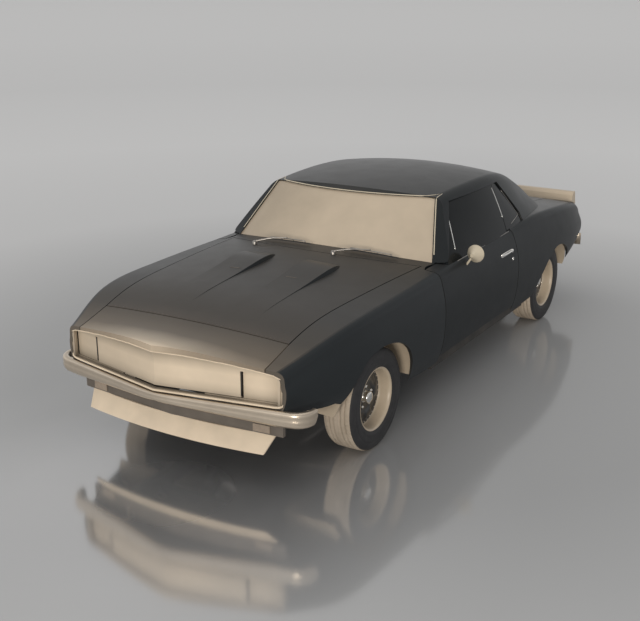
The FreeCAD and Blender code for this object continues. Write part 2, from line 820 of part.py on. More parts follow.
def blade_ring(front, corner_x, corner_y, end_x, end_y, depth, setback, z):
    """Outline of a wrapped bumper at one height: vee, rounded corner and short side."""
    way = 1 if end_y > front else -1
    slope = (corner_y - front) / corner_x
    turn_x = corner_x - bumper_turn
    nose = V(0, front + setback * way, z)
    turn = V(turn_x, front + slope * turn_x + setback * way, z)
    side = V(end_x - setback, corner_y + bumper_turn / 2 * way, z)
    corner = V(corner_x + (end_x - corner_x) / 2 - setback / 2, corner_y + setback / 2 * way, z)
    end = V(end_x - setback, end_y, z)
    end_back = V(end_x - bumper_wrap_depth, end_y, z)
    side_back = V(end_x - bumper_wrap_depth, side.y + depth / 3 * way, z)
    turn_back = V(turn_x, turn.y + (depth - setback) * way, z)
    nose_back = V(0, front + depth * way, z)
    flip = lambda point: V(-point.x, point.y, point.z)
    right = [Part.makeLine(nose, turn), Part.Arc(turn, corner, side).toShape(), Part.makeLine(side, end),
             Part.makeLine(end, end_back), Part.makeLine(end_back, side_back),
             Part.makeLine(side_back, turn_back), Part.makeLine(turn_back, nose_back)]
    left = [Part.makeLine(nose_back, flip(turn_back)), Part.makeLine(flip(turn_back), flip(side_back)),
            Part.makeLine(flip(side_back), flip(end_back)), Part.makeLine(flip(end_back), flip(end)),
            Part.makeLine(flip(end), flip(side)), Part.Arc(flip(side), flip(corner), flip(turn)).toShape(),
            Part.makeLine(flip(turn), nose)]
    return Part.Wire(right + left)


def blade(front, corner_x, corner_y, end_x, end_y, depth, mid_z, height):
    rings = []
    for rise, back in blade_section_shares:
        rings.append(blade_ring(front, corner_x, corner_y, end_x, end_y, depth, back * bumper_wrap_depth,
                                mid_z + rise * height))
    return Part.makeLoft(rings, True)


def build_front_bumper():
    bar = blade(bumper_front_y, bumper_corner_x, bumper_corner_y, bumper_end_x, bumper_end_y,
                bumper_depth, bumper_centre_z, bumper_height)
    low = bumper_centre_z - bumper_height / 2
    bow = [(-bumper_corner_x, low), (0, low + bumper_bow), (bumper_corner_x, low), (0, low - bumper_bow)]
    taper = [(bumper_corner_y, low - panel_gap), (bumper_end_y + panel_gap, low - panel_gap),
             (bumper_end_y + panel_gap, low + bumper_taper)]
    bar = bar.cut(front_prism(bow, bumper_front_y - overrun, bumper_end_y))
    bar = bar.cut(side_prism(taper, -half_width, half_width))
    near = bumper_front_y + (bumper_corner_y - bumper_front_y) * rail_x / bumper_corner_x + door_gap
    post_y = rail_front_y + overrun * 3
    arm = box(rail_x - skin, rail_x + skin, near, post_y, bumper_centre_z - bumper_arm_half,
              bumper_centre_z + bumper_arm_half)
    post = box(rail_x - skin, rail_x + skin, post_y - skin * 2, post_y, rail_z + rail_height / 2,
               bumper_centre_z)
    bracket = arm.fuse(post)
    hollow = body_form(skin + panel_gap, 0, overrun * 4, True)
    bar = bar.cut(body_form(-panel_gap, 0, overrun * 3).common(nose_prism(-panel_gap)).cut(hollow))
    return largest(bar.fuse([bracket, mirrored(bracket)])).removeSplitter()


def build_rear_bumper():
    bar = blade(rear_bumper_y, rear_bumper_corner_x, rear_bumper_corner_y, rear_bumper_half,
                rear_bumper_end_y,
                rear_bumper_depth, rear_bumper_z, rear_bumper_height)
    bracket = box(rail_x - skin, rail_x + skin, tail_corner_y - overrun, rear_bumper_y - rear_bumper_depth,
                  rear_bumper_z - skin, rear_bumper_z + skin)
    bracket = bracket.cut(body_form().common(tail_prism()))
    return bar.fuse([bracket, mirrored(bracket)]).removeSplitter()


def build_valance():
    return vee_plate(valance_centre_y, valance_corner_y, valance_corner_x, -valance_corner_x,
                     valance_corner_x,
                     valance_wall, valance_bottom_z, valance_top_z)


def build_parking_lamp():
    return vee_plate(valance_centre_y - panel_gap, valance_corner_y - panel_gap, valance_corner_x,
                     parking_lamp_x - parking_lamp_width / 2, parking_lamp_x + parking_lamp_width / 2,
                     panel_gap, parking_lamp_z - parking_lamp_height / 2,
                     parking_lamp_z + parking_lamp_height / 2)


def dam_ring(centre_y, corner_y, half, z):
    front = Part.Arc(V(-half, corner_y, z), V(0, centre_y, z), V(half, corner_y, z)).toShape()
    back = Part.Arc(V(half, corner_y + dam_wall, z), V(0, centre_y + dam_wall, z),
                    V(-half, corner_y + dam_wall, z)).toShape()
    ends = [Part.makeLine(V(half, corner_y, z), V(half, corner_y + dam_wall, z)),
            Part.makeLine(V(-half, corner_y + dam_wall, z), V(-half, corner_y, z))]
    return Part.Wire([front, ends[0], back, ends[1]])


def build_air_dam():
    top = dam_ring(dam_top_centre_y, dam_top_corner_y, dam_top_half, dam_top_z)
    bottom = dam_ring(dam_bottom_centre_y, dam_bottom_corner_y, dam_bottom_half, dam_bottom_z)
    return Part.makeLoft([bottom, top], True, True)


def spoiler_ring(x):
    front_y = spoiler_front_y - spoiler_sweep * (x / spoiler_half) ** 2
    points = [V(x, front_y + run * spoiler_depth,
                spoiler_base_z + rise * (spoiler_top_z - spoiler_base_z)) for run,
              rise in spoiler_section_shares]
    return Part.makePolygon(points + points[:1])


def build_spoiler(outer):
    places = [-spoiler_half, -spoiler_half / 2, 0, spoiler_half / 2, spoiler_half]
    wedge = Part.makeLoft([spoiler_ring(x) for x in places], True)
    on_lid = wedge.common(deck_plan(0)).cut(outer)
    over_sides = wedge.cut(body_form(-panel_gap).common(tail_prism(-panel_gap)))
    return largest(over_sides.fuse(on_lid)).removeSplitter()


def build_tail_lamps():
    lamp = box(tail_lamp_x - tail_lamp_width / 2, tail_lamp_x + tail_lamp_width / 2, tail_corner_y - skin,
               tail_centre_y + tail_lamp_depth, tail_lamp_z - tail_lamp_height / 2,
               tail_lamp_z + tail_lamp_height / 2)
    return both_sides(lamp.common(tail_prism(-tail_lamp_depth)))


def build_tyre():
    inner = wheel_centre_x - tyre_width / 2
    outer = wheel_centre_x + tyre_width / 2
    tread = tyre_radius
    flank = tyre_radius - tyre_shoulder
    bead = rim_width / 2 - rim_wall - running_gap
    collar = rim_radius + running_gap
    profile = [V(wheel_centre_x - bead, 0, tyre_bead_radius), V(wheel_centre_x - bead, 0, collar),
               V(inner, 0, tyre_bead_radius + tyre_shoulder),
               V(inner, 0, flank), V(wheel_centre_x - tyre_tread_half, 0, tread),
               V(wheel_centre_x + tyre_tread_half, 0, tread), V(outer, 0, flank),
               V(outer, 0, tyre_bead_radius + tyre_shoulder), V(wheel_centre_x + bead, 0, collar),
               V(wheel_centre_x + bead, 0, tyre_bead_radius)]
    face = Part.Face(Part.makePolygon(profile + profile[:1]))
    return face.revolve(V(0, 0, 0), V(1, 0, 0), 360)


def build_rim():
    half = rim_width / 2
    mid = wheel_centre_x
    disc = mid + disc_inset
    bore = bore_radius + bore_clearance
    barrel = tyre_bead_radius - running_gap
    profile = [V(mid - half, 0, barrel - rim_wall), V(mid - half, 0, rim_radius),
               V(mid - half + rim_wall, 0, rim_radius),
               V(mid - half + rim_wall, 0, barrel), V(mid + half - rim_wall, 0, barrel),
               V(mid + half - rim_wall, 0, rim_radius), V(mid + half, 0, rim_radius),
               V(mid + half, 0, barrel - rim_wall), V(disc, 0, barrel - rim_wall),
               V(disc, 0, hub_radius), V(disc + disc_thickness, 0, hub_radius),
               V(disc + disc_thickness, 0, bore), V(disc - disc_thickness, 0, bore),
               V(disc - disc_thickness, 0, barrel - rim_wall)]
    face = Part.Face(Part.makePolygon(profile + profile[:1]))
    rim = face.revolve(V(0, 0, 0), V(1, 0, 0), 360)
    cap = Part.makeCylinder(cap_radius, cap_height, V(disc + disc_thickness, 0, 0), V(1, 0, 0))
    parts = [cap]
    for k in range(lug_count):
        lug = Part.makeCylinder(lug_radius, lug_height, V(disc, lug_circle_radius + lug_radius, 0),
                                V(1, 0, 0))
        lug.rotate(V(0, 0, 0), V(1, 0, 0), 360 / lug_count * k)
        parts.append(lug)
    return rim.fuse(parts).removeSplitter()


def placed_wheel(shape, side, axle_y):
    wheel = shape.copy()
    wheel.translate(V(0, axle_y, tyre_radius))
    return wheel if side > 0 else mirrored(wheel)


def build_knuckle():
    disc = wheel_centre_x + disc_inset
    spindle_end = disc + disc_thickness - running_gap
    spindle = Part.makeCylinder(bore_radius, spindle_end - kingpin_x, V(kingpin_x, front_axle_y, tyre_radius),
                                V(1, 0, 0))
    upright = box(kingpin_x - knuckle_width, kingpin_x, front_axle_y - knuckle_width,
                  front_axle_y + knuckle_width,
                  tyre_radius - knuckle_height / 2, tyre_radius + knuckle_height / 2)
    drum_start = kingpin_x + drum_inset
    drum = Part.makeCylinder(drum_radius, drum_depth, V(drum_start, front_axle_y, tyre_radius), V(1, 0, 0))
    return upright.fuse([spindle, drum]).removeSplitter()


def control_arm(low_z, root_width):
    root_x = rail_x - rail_width / 2
    outline = [(root_x, front_axle_y - root_width / 2), (arm_end_x, front_axle_y - arm_end_width / 2),
               (arm_end_x, front_axle_y + arm_end_width / 2), (root_x, front_axle_y + root_width / 2)]
    return plan_prism(outline, low_z, low_z + arm_height)


def build_subframe():
    rail = box(rail_x - rail_width / 2, rail_x + rail_width / 2, rail_front_y, floor_front_y,
               rail_z - rail_height / 2, rail_z + rail_height / 2)
    rail = rail.cut(vee_plate(valance_centre_y, valance_corner_y, valance_corner_x, 0, valance_corner_x,
                              valance_wall, 0, valance_top_z))
    rail = largest(rail)
    cross = box(-rail_x, rail_x, front_axle_y - cross_width / 2, front_axle_y + cross_width / 2,
                cross_z, cross_z + cross_height)
    low_z = tyre_radius - knuckle_height / 2
    high_z = tyre_radius + knuckle_height / 2
    arm = control_arm(arm_z, arm_root_width)
    upper = control_arm(high_z + ball_gap, cross_width)
    pins = [Part.makeCylinder(ball_pin_radius, low_z - running_gap - arm_z,
                              V(kingpin_x, front_axle_y, arm_z)),
            Part.makeCylinder(ball_pin_radius, ball_gap - running_gap, V(kingpin_x, front_axle_y,
                              high_z + running_gap))]
    post = box(rail_x - rail_width / 2, rail_x + rail_width / 2, front_axle_y - cross_width / 2,
               front_axle_y + cross_width / 2, arm_z, high_z + ball_gap + arm_height)
    half = rail.fuse([arm, post, upper] + pins)
    return half.fuse([mirrored(half), cross]).removeSplitter()


def build_rear_axle():
    disc = wheel_centre_x + disc_inset
    tube = Part.makeCylinder(axle_tube_radius, axle_tube_half * 2,
                             V(-axle_tube_half, rear_axle_y, tyre_radius),
                             V(1, 0, 0))
    stub = Part.makeCylinder(bore_radius, (disc + disc_thickness - running_gap) * 2,
                             V(-disc - disc_thickness + running_gap, rear_axle_y, tyre_radius), V(1, 0, 0))
    drum = Part.makeCylinder(drum_radius, drum_depth, V(kingpin_x + drum_inset, rear_axle_y, tyre_radius),
                             V(1, 0, 0))
    neck = Part.makeCylinder(axle_tube_radius, knuckle_width * 2.5,
                             V(axle_tube_half - knuckle_width, rear_axle_y,
                             tyre_radius), V(1, 0, 0))
    ball = Part.makeSphere(diff_radius, V(0, rear_axle_y, tyre_radius))
    seat_z = tyre_radius - axle_tube_radius - spring_thickness
    top = [V(spring_x - spring_width / 2, rear_axle_y - spring_reach, seat_z + spring_sag),
           V(spring_x - spring_width / 2, rear_axle_y, seat_z),
           V(spring_x - spring_width / 2, rear_axle_y + spring_reach, seat_z + spring_sag)]
    lower = Part.Arc(top[0], top[1], top[2]).toShape()
    raised = [point + V(0, 0, spring_thickness) for point in top]
    upper = Part.Arc(raised[2], raised[1], raised[0]).toShape()
    ends = [Part.makeLine(top[2], raised[2]), Part.makeLine(raised[0], top[0])]
    leaf = Part.Face(Part.Wire([lower, ends[0], upper, ends[1]])).extrude(V(spring_width, 0, 0))
    hangers = []
    for end in (-1, 1):
        end_y = rear_axle_y + end * (spring_reach - spring_width / 2)
        post = box(spring_x - spring_width / 2, spring_x + spring_width / 2, end_y - spring_width / 2,
                   end_y + spring_width / 2, seat_z + spring_sag, floor_kick_z + floor_wall)
        hangers.append(largest(post.cut(build_floor())))
    seat = box(spring_x - spring_width / 2, spring_x + spring_width / 2, rear_axle_y - axle_tube_radius,
               rear_axle_y + axle_tube_radius, seat_z, tyre_radius)
    half = [drum, neck, leaf, seat] + hangers
    return tube.fuse([stub, ball] + half + [mirrored(shape) for shape in half]).removeSplitter()


def build_floor():
    under = sill_bottom_z
    outline = [(floor_front_y + firewall_wall, under), (floor_step_y, under), (floor_kick_y, floor_kick_z),
               (tail_corner_y - skin, trunk_floor_z), (tail_corner_y - skin, trunk_floor_z + floor_wall),
               (floor_kick_y - floor_wall, floor_kick_z + floor_wall),
               (floor_step_y - floor_wall, under + floor_wall),
               (floor_front_y + firewall_wall, under + floor_wall)]
    pan = side_prism(outline, -door_inner_x, door_inner_x)
    tunnel = box(-tunnel_half, tunnel_half, floor_front_y + firewall_wall, floor_step_y, under,
                 under + tunnel_height)
    hollow = box(-tunnel_half + floor_wall, tunnel_half - floor_wall, floor_front_y, floor_step_y,
                 0, under + tunnel_height - floor_wall)
    sill = box(door_inner_x - overrun * 2, door_inner_x + overrun * 1.5, floor_front_y + firewall_wall,
               rear_arch_front_y,
               under, sill_top_z)
    wheel_room = arches()
    body = pan.fuse([tunnel, sill, mirrored(sill)]).cut(hollow).cut(wheel_room)
    room = box(rear_liner_inner_x - liner_wall, half_width, rear_arch_front_y - overrun,
               rear_arch_end_y + overrun,
               0, roof_height)
    return largest(body.cut(room).cut(mirrored(room)))


def build_liners():
    wall = half_width
    front = liner_arch(front_axle_y, tyre_radius, liner_inner_x, wall, front_liner_bottom_z)
    rear = liner_arch(rear_axle_y, tyre_radius - overrun, rear_liner_inner_x, wall, rear_liner_bottom_z)
    inner = body_form(skin + running_gap, 0, overrun * 2, True)
    arm_low = tyre_radius + knuckle_height / 2 + ball_gap
    arm_room = box(rail_x, liner_inner_x + skin, front_axle_y - cross_width / 2 - panel_gap,
                   front_axle_y + cross_width / 2 + panel_gap, arm_low - panel_gap,
                   arm_low + arm_height + panel_gap)
    right = [largest(shape.common(inner).cut(arm_room)) for shape in (front, rear)]
    return Part.makeCompound(right + [mirrored(shape) for shape in right])


def liner_arch(axle_y, centre_z, x0, x1, low_z):
    outer = Part.makeCylinder(liner_radius + liner_wall, x1 - x0, V(x0, axle_y, centre_z), V(1, 0, 0))
    inner = Part.makeCylinder(liner_radius, x1 - x0 - liner_wall, V(x0 + liner_wall, axle_y, centre_z),
                              V(1, 0, 0))
    ring = outer.cut(inner)
    return ring.common(box(x0, x1, axle_y - liner_radius * 2, axle_y + liner_radius * 2, low_z, roof_height))


def build_engine():
    return box(-engine_width / 2, engine_width / 2, engine_y - engine_length / 2,
               engine_y + engine_length / 2,
               cross_z + cross_height, cross_z + cross_height + engine_height)


def build_radiator():
    core = box(-radiator_half, radiator_half, radiator_y, radiator_y + radiator_depth, radiator_z,
               radiator_z + radiator_height)
    foot = box(-rail_x, rail_x, radiator_y, radiator_y + radiator_depth, rail_z, radiator_z)
    return core.fuse(foot).cut(build_subframe())


def build_dashboard():
    dash_half = post_inner_x - running_gap
    bar = box(-dash_half, dash_half, dash_y - dash_depth / 2, dash_y + dash_depth / 2, dash_z,
              dash_z + dash_height)
    column = Part.makeCylinder(column_radius, column_length, V(0, 0, 0), V(0, 0, 1))
    column.translate(V(0, 0, -column_length))
    column.rotate(V(0, 0, 0), V(1, 0, 0), column_tilt - 90)
    column.translate(V(steering_x, steering_y, steering_z))
    return bar.fuse(column)


def build_steering_wheel():
    ring = Part.makeTorus(steering_radius, steering_rim_radius, V(0, 0, 0), V(0, 0, 1))
    hub = Part.makeCylinder(column_radius * 2, steering_rim_radius * 2, V(0, 0, running_gap), V(0, 0, 1))
    spokes = []
    for turn in (0, 120, 240):
        spoke = box(0, steering_radius, -steering_rim_radius, steering_rim_radius, running_gap,
                    steering_rim_radius)
        spoke.rotate(V(0, 0, 0), V(0, 0, 1), turn + 90)
        spokes.append(spoke)
    wheel = ring.fuse([hub] + spokes)
    wheel.rotate(V(0, 0, 0), V(1, 0, 0), column_tilt - 90)
    wheel.translate(V(steering_x, steering_y, steering_z))
    return wheel


def seat_solid(x0, x1, front_y, rear_y, low_z, cushion_z, top_z):
    outline = [(front_y, low_z), (rear_y, low_z), (rear_y + seat_back_lean, top_z),
               (rear_y + seat_back_lean - seat_back_thickness, top_z),
               (rear_y - seat_back_thickness, cushion_z),
               (front_y, cushion_z)]
    return side_prism(outline, x0, x1)


def build_front_seats():
    low = sill_bottom_z + floor_wall
    seat = seat_solid(seat_x - seat_half, seat_x + seat_half, seat_front_y, seat_rear_y, low,
                      seat_cushion_z, seat_back_top_z)
    clear = box(-tunnel_half, tunnel_half, seat_front_y, seat_rear_y + seat_back_lean, 0,
                sill_bottom_z + tunnel_height)
    return both_sides(seat.cut(clear))


def build_rear_seat():
    low = floor_kick_z + floor_wall
    base = seat_solid(-rear_seat_half, rear_seat_half, rear_seat_front_y, rear_seat_rear_y,
                      sill_bottom_z + floor_wall,
                      rear_seat_cushion_z, rear_seat_back_top_z)
    return largest(base.cut(build_floor()).cut(build_liners()).cut(box(-half_width, half_width, floor_step_y - floor_wall,
                   half_length, 0, low)))


def build_exhaust():
    pipe = Part.makeCylinder(exhaust_radius, exhaust_rear_y - exhaust_front_y,
                             V(exhaust_x, exhaust_front_y, exhaust_z), V(0, 1, 0))
    muffler = Part.makeCylinder(muffler_radius, muffler_length, V(exhaust_x, muffler_front_y, muffler_z),
                                V(0, 1, 0))
    down = Part.makeCylinder(exhaust_radius, cross_z + cross_height - exhaust_z,
                             V(exhaust_x, exhaust_front_y + exhaust_radius, exhaust_z))
    parts = [muffler, down]
    for y in hanger_ys:
        parts.append(box(exhaust_x - hanger_size / 2, exhaust_x + hanger_size / 2, y, y + hanger_size,
                         exhaust_z, sill_bottom_z))
    return both_sides(pipe.fuse(parts).removeSplitter())


def build_mirror(door):
    head = Part.makeCone(mirror_tip_radius, mirror_radius, mirror_depth,
                         V(mirror_x, mirror_y - mirror_depth, mirror_z),
                         V(0, 1, 0))
    stalk = Part.makeCylinder(mirror_stalk_radius, mirror_radius * 2,
                              V(mirror_x, mirror_y - mirror_depth / 2, mirror_z), V(-0.55, 0, -0.83))
    return largest(head.fuse(stalk).cut(door))


def export(shape, name):
    shape.exportStep("parts/" + name + ".step")


def main():
    os.makedirs("parts", exist_ok=True)
    outer, shell = build_shell()
    cabin = cabin_form()
    cabin_inner = cabin_form(pillar_wall)
    layer = glass_layer()
    door = build_door(outer)
    door_glass = build_door_glass(layer, outer)
    lamp_door = build_lamp_door()
    knuckle = build_knuckle()
    tyre = build_tyre()
    rim = build_rim()
    nodes = {
        "front_fenders": build_fenders(shell), "header_panel": build_header(shell),
        "cowl": build_cowl(shell, cabin_inner), "hood": build_hood(outer),
        "rear_body": build_rear_body(shell, cabin_inner), "trunk_lid": build_trunk(outer),
        "roof": build_roof(cabin, cabin_inner), "windscreen": build_windscreen(layer, outer),
        "rear_glass": build_rear_glass(layer, outer), "grille": build_grille(),
        "lamps": build_lamps(), "front_bumper": build_front_bumper(),
        "rear_bumper": build_rear_bumper(), "front_valance": build_valance(),
        "air_dam": build_air_dam(),
        "spoiler": build_spoiler(outer), "tail_lamps": build_tail_lamps(),
        "front_subframe": build_subframe(), "rear_axle": build_rear_axle(),
        "floor_pan": build_floor(), "arch_liners": build_liners(), "engine": build_engine(),
        "radiator": build_radiator(), "dashboard": build_dashboard(),
        "steering_wheel": build_steering_wheel(), "front_seats": build_front_seats(),
        "rear_seat": build_rear_seat(), "exhaust": build_exhaust(), "mirror": build_mirror(door),
    }
    for name, side in (("left", 1), ("right", -1)):
        flip = (lambda shape: shape) if side > 0 else mirrored
        nodes["door_" + name] = flip(door)
        nodes["door_glass_" + name] = flip(door_glass)
        nodes["lamp_door_" + name] = flip(lamp_door)
        nodes["knuckle_" + name] = flip(knuckle)
        for end, axle_y in (("front", front_axle_y), ("rear", rear_axle_y)):
            nodes["tyre_" + end + "_" + name] = placed_wheel(tyre, side, axle_y)
            nodes["rim_" + end + "_" + name] = placed_wheel(rim, side, axle_y)
    for name, shape in nodes.items():
        export(shape, name)
        print(name, shape.isValid(), len(shape.Solids), round(shape.Volume / 1e6, 2))


main()
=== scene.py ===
from math import atan, cos, exp, pi, radians, sin

import bpy
from mathutils import Matrix, Vector
from mathutils.bvhtree import BVHTree


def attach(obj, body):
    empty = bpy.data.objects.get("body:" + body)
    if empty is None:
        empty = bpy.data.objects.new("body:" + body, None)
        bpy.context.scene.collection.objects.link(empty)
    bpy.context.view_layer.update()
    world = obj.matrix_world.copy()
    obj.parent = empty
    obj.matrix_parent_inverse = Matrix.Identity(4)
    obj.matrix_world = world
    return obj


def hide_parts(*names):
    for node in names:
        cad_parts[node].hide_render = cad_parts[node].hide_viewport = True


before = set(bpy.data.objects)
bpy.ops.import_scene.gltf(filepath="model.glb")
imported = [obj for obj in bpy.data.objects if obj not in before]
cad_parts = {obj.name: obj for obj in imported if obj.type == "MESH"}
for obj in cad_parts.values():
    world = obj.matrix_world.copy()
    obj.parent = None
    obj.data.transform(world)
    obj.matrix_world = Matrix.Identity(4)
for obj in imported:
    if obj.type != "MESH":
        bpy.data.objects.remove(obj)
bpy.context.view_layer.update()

# Camera, solved from the photograph
camera_place = (3.3915, -6.15, 2.5818)
camera_yaw = 31.746
camera_pitch = -18.005
camera_roll = -0.147
camera_lens = 57.316

# Places in metres that several pieces share
front_axle_y = -1.417
rear_axle_y = 1.338
wheel_centre_x = 0.752
tyre_radius = 0.306
SIDES = (("left", 1), ("right", -1))

# Looks that several surfaces share
grain_depth = 0.0006
beige_dark = (0.5, 0.418, 0.315)
beige_light = (0.58, 0.484, 0.366)
# Painted shade for the upright faces of the paint
painted_side_shade = (0.017, 0.02, 0.0222)
# Floor tones by distance from the car's centre, darkest within about 2.4 m of it: painted shade round the car
floor_tones_and_shade = [(0.0, (0.62, 0.624, 0.63)), (0.5, (0.6, 0.604, 0.61)), (0.75, (0.66, 0.664, 0.67)),
               (0.88, (0.6, 0.604, 0.61)), (0.94, (0.39, 0.395, 0.401))]
floor_sheen = [(0.0, 0.15), (0.3, 0.24), (0.62, 0.52), (0.85, 0.6)]
sky_heights = [(0.0, 1.02), (0.25, 0.76), (0.5, 0.5), (1.0, (0.92, 0.9, 0.87))]
sky_sides = [(0.1, 1), (0.55, (0.74, 0.74, 0.75)), (0.9, (0.6, 0.6, 0.61))]


# Materials
def new_tree(name):
    made = bpy.data.materials.new(name)
    made.use_nodes = True
    return made, made.node_tree, made.node_tree.nodes["Principled BSDF"]


def fill_inputs(tree, node, inputs):
    """Sets the named inputs of a node; a socket given as value is linked."""
    for name, value in inputs.items():
        if isinstance(value, bpy.types.NodeSocket):
            tree.links.new(value, node.inputs[name])
        else:
            node.inputs[name].default_value = value


def add_node(tree, kind, inputs):
    node = tree.nodes.new("ShaderNode" + kind)
    fill_inputs(tree, node, inputs)
    return node


def coordinates(tree, space):
    return add_node(tree, "TexCoord", {}).outputs[space]


def axes_of(tree, vector):
    return add_node(tree, "SeparateXYZ", {"Vector": vector}).outputs


def math_node(tree, operation, *values):
    node = add_node(tree, "Math", dict(enumerate(values)))
    node.operation = operation
    return node.outputs["Value"]


def noise_node(tree, where, scale, detail=3.0):
    inputs = {"Vector": where, "Scale": scale, "Detail": detail, "Roughness": 0.55}
    return add_node(tree, "TexNoise", inputs).outputs["Fac"]


def ramp_node(tree, value, stops):
    """Stops are places and colours; a bare number is a grey."""
    node = add_node(tree, "ValToRGB", {"Fac": value})
    ramp = node.color_ramp
    while len(ramp.elements) < len(stops):
        ramp.elements.new(0.5)
    for element, (place, colour) in zip(ramp.elements, stops):
        element.position = place
        element.color = (*colour, 1.0) if isinstance(colour, tuple) else (colour, colour, colour, 1.0)
    return node.outputs["Color"]


def range_node(tree, value, low, high, from_low=0.0, from_high=1.0):
    inputs = {"Value": value, "From Min": from_low, "From Max": from_high, "To Min": low, "To Max": high}
    return add_node(tree, "MapRange", inputs).outputs["Result"]


def ramp_along(tree, value, stops):
    """A ramp whose stops lie on the value's own scale."""
    first = stops[0][0]
    last = stops[-1][0]
    along = range_node(tree, value, 0.0, 1.0, first, last)
    return ramp_node(tree, along, [((place - first) / (last - first), colour) for place, colour in stops])


def bump_node(tree, height, strength, distance, under=None):
    inputs = {"Height": height, "Strength": strength, "Distance": distance}
    if under is not None:
        inputs["Normal"] = under
    return add_node(tree, "Bump", inputs).outputs["Normal"]


def mixed(tree, share, first, second, blend="MIX"):
    node = add_node(tree, "MixRGB", {"Fac": share, "Color1": first, "Color2": second})
    node.blend_type = blend
    return node.outputs["Color"]


def finish(name, dark, light, blotch=4.0, rough=(0.4, 0.5), grain=900.0, grain_strength=0.08,
           metallic=0.0, coat=0.0, specular=0.5):
    """A surface with cloudy tone, uneven gloss and a fine grain, all in the object's own space."""
    made, tree, shader = new_tree(name)
    where = coordinates(tree, "Object")
    fill_inputs(tree, shader, {
        "Base Color": ramp_node(tree, noise_node(tree, where, blotch), [(0.3, dark), (0.7, light)]),
        "Roughness": range_node(tree, noise_node(tree, where, blotch * 3.1, 4.0), *rough),
        "Normal": bump_node(tree, noise_node(tree, where, grain, 2.0), grain_strength, grain_depth),
        "Metallic": metallic, "Coat Weight": coat, "Coat Roughness": 0.2, "Specular IOR Level": specular})
    return made


def paint_with_painted_light(name, light_bands, side_shade_tone, wander=0.16):
    """Satin paint with painted light and shade: its tone changes along the car in light bands that paint the light
    from the front, and its upright faces take a painted shade tone.
    Light bands hold places along Y and their colours."""
    made, tree, shader = new_tree(name)
    where = coordinates(tree, "Object")
    shift = range_node(tree, noise_node(tree, where, 2.4), -wander / 2, wander / 2)
    place = math_node(tree, "ADD", axes_of(tree, where)["Y"], shift)
    # Painted shade: the more a face turns sideways, the more it takes the side shade tone
    sideways = math_node(tree, "ABSOLUTE", axes_of(tree, coordinates(tree, "Normal"))["X"])
    share = ramp_node(tree, sideways, [(0.05, 0), (0.34, 1)])
    wave = bump_node(tree, noise_node(tree, where, 5.0, 2.0), 0.03, 0.004)
    fill_inputs(tree, shader, {
        "Base Color": mixed(tree, share, ramp_along(tree, place, light_bands), (*side_shade_tone, 1)),
        "Specular IOR Level": ramp_node(tree, sideways, [(0.04, 0.38), (0.3, 0.11)]),
        "Roughness": range_node(tree, noise_node(tree, where, 9.0, 4.0), 0.36, 0.46),
        "Normal": bump_node(tree, noise_node(tree, where, 1400.0, 2.0), 0.05, grain_depth, wave),
        "Coat Weight": 0.05, "Coat Roughness": 0.32})
    return made


def beige(name, tone, rough=(0.42, 0.56), **more):
    """Satin beige with faint rosy and olive clouds, for parts that face the front: the beige is the warm light from
    the front, painted into their base colour.
    """
    dark = tuple(tone * k for k in beige_dark)
    light = tuple(tone * k for k in beige_light)
    return finish(name, dark, light, rough=rough, **more)


def shade_rims(made, axis, stops):
    """Paints shade and light: multiplies a material's base colour by a ramp along one axis of the object's space."""
    tree = made.node_tree
    colour = tree.nodes["Principled BSDF"].inputs["Base Color"]
    ramp = ramp_along(tree, axes_of(tree, coordinates(tree, "Object"))[axis], stops)
    tree.links.new(mixed(tree, 1.0, colour.links[0].from_socket, ramp, "MULTIPLY"), colour)


# Painted light: each band table paints the warm light from the front, brightest on the nose and dimmer along the car,
# and each side tone paints shade on the upright faces
paint = paint_with_painted_light("charcoal_paint", [(-0.9, (0.022, 0.0223, 0.022)), (0.6, (0.019, 0.0195, 0.0194)),
                                 (2.3, (0.012, 0.0127, 0.0126))], painted_side_shade)
hood_painted_light = paint_with_painted_light("hood_painted_light", [(-2.1, (0.085, 0.068, 0.053)), (-1.9, (0.044, 0.0375, 0.031)),
                                  (-1.5, (0.03, 0.0265, 0.023)), (-0.9, (0.028, 0.0255, 0.022))], painted_side_shade)
header_painted_light = paint_with_painted_light("header_painted_light", [(-2.36, (0.84, 0.7, 0.53)), (-2.31, (0.52, 0.43, 0.322)),
                                      (-2.16, (0.138, 0.113, 0.085)), (-1.98, (0.064, 0.054, 0.043))],
                     (0.16, 0.13, 0.1), wander=0.07)
fender_painted_light = paint_with_painted_light("fender_painted_light", [(-2.24, (0.22, 0.18, 0.135)), (-2.14, (0.115, 0.094, 0.072)),
                                      (-1.96, (0.05, 0.044, 0.037)), (-1.6, (0.026, 0.025, 0.024)),
                                      (-0.6, (0.024, 0.024, 0.023))], (0.024, 0.028, 0.031))
# Painted light: the beige of these front-facing parts, brightest on the air dam
screen = beige("screen_beige", 0.95, (0.34, 0.44))
face = beige("face_beige", 1.0)
# Painted shade in the grille's recess at its top, bottom and ends, and painted light growing towards +X
shade_rims(face, "Z", [(0.525, 0.45), (0.56, 0.8), (0.6, 1.0), (0.655, 1.05), (0.695, 0.8), (0.735, 0.5)])
shade_rims(face, "X", [(-0.735, 0.62), (-0.66, 0.9), (-0.3, 0.97), (0.1, 1.18), (0.6, 1.3), (0.7, 1.0),
                       (0.735, 0.75)])
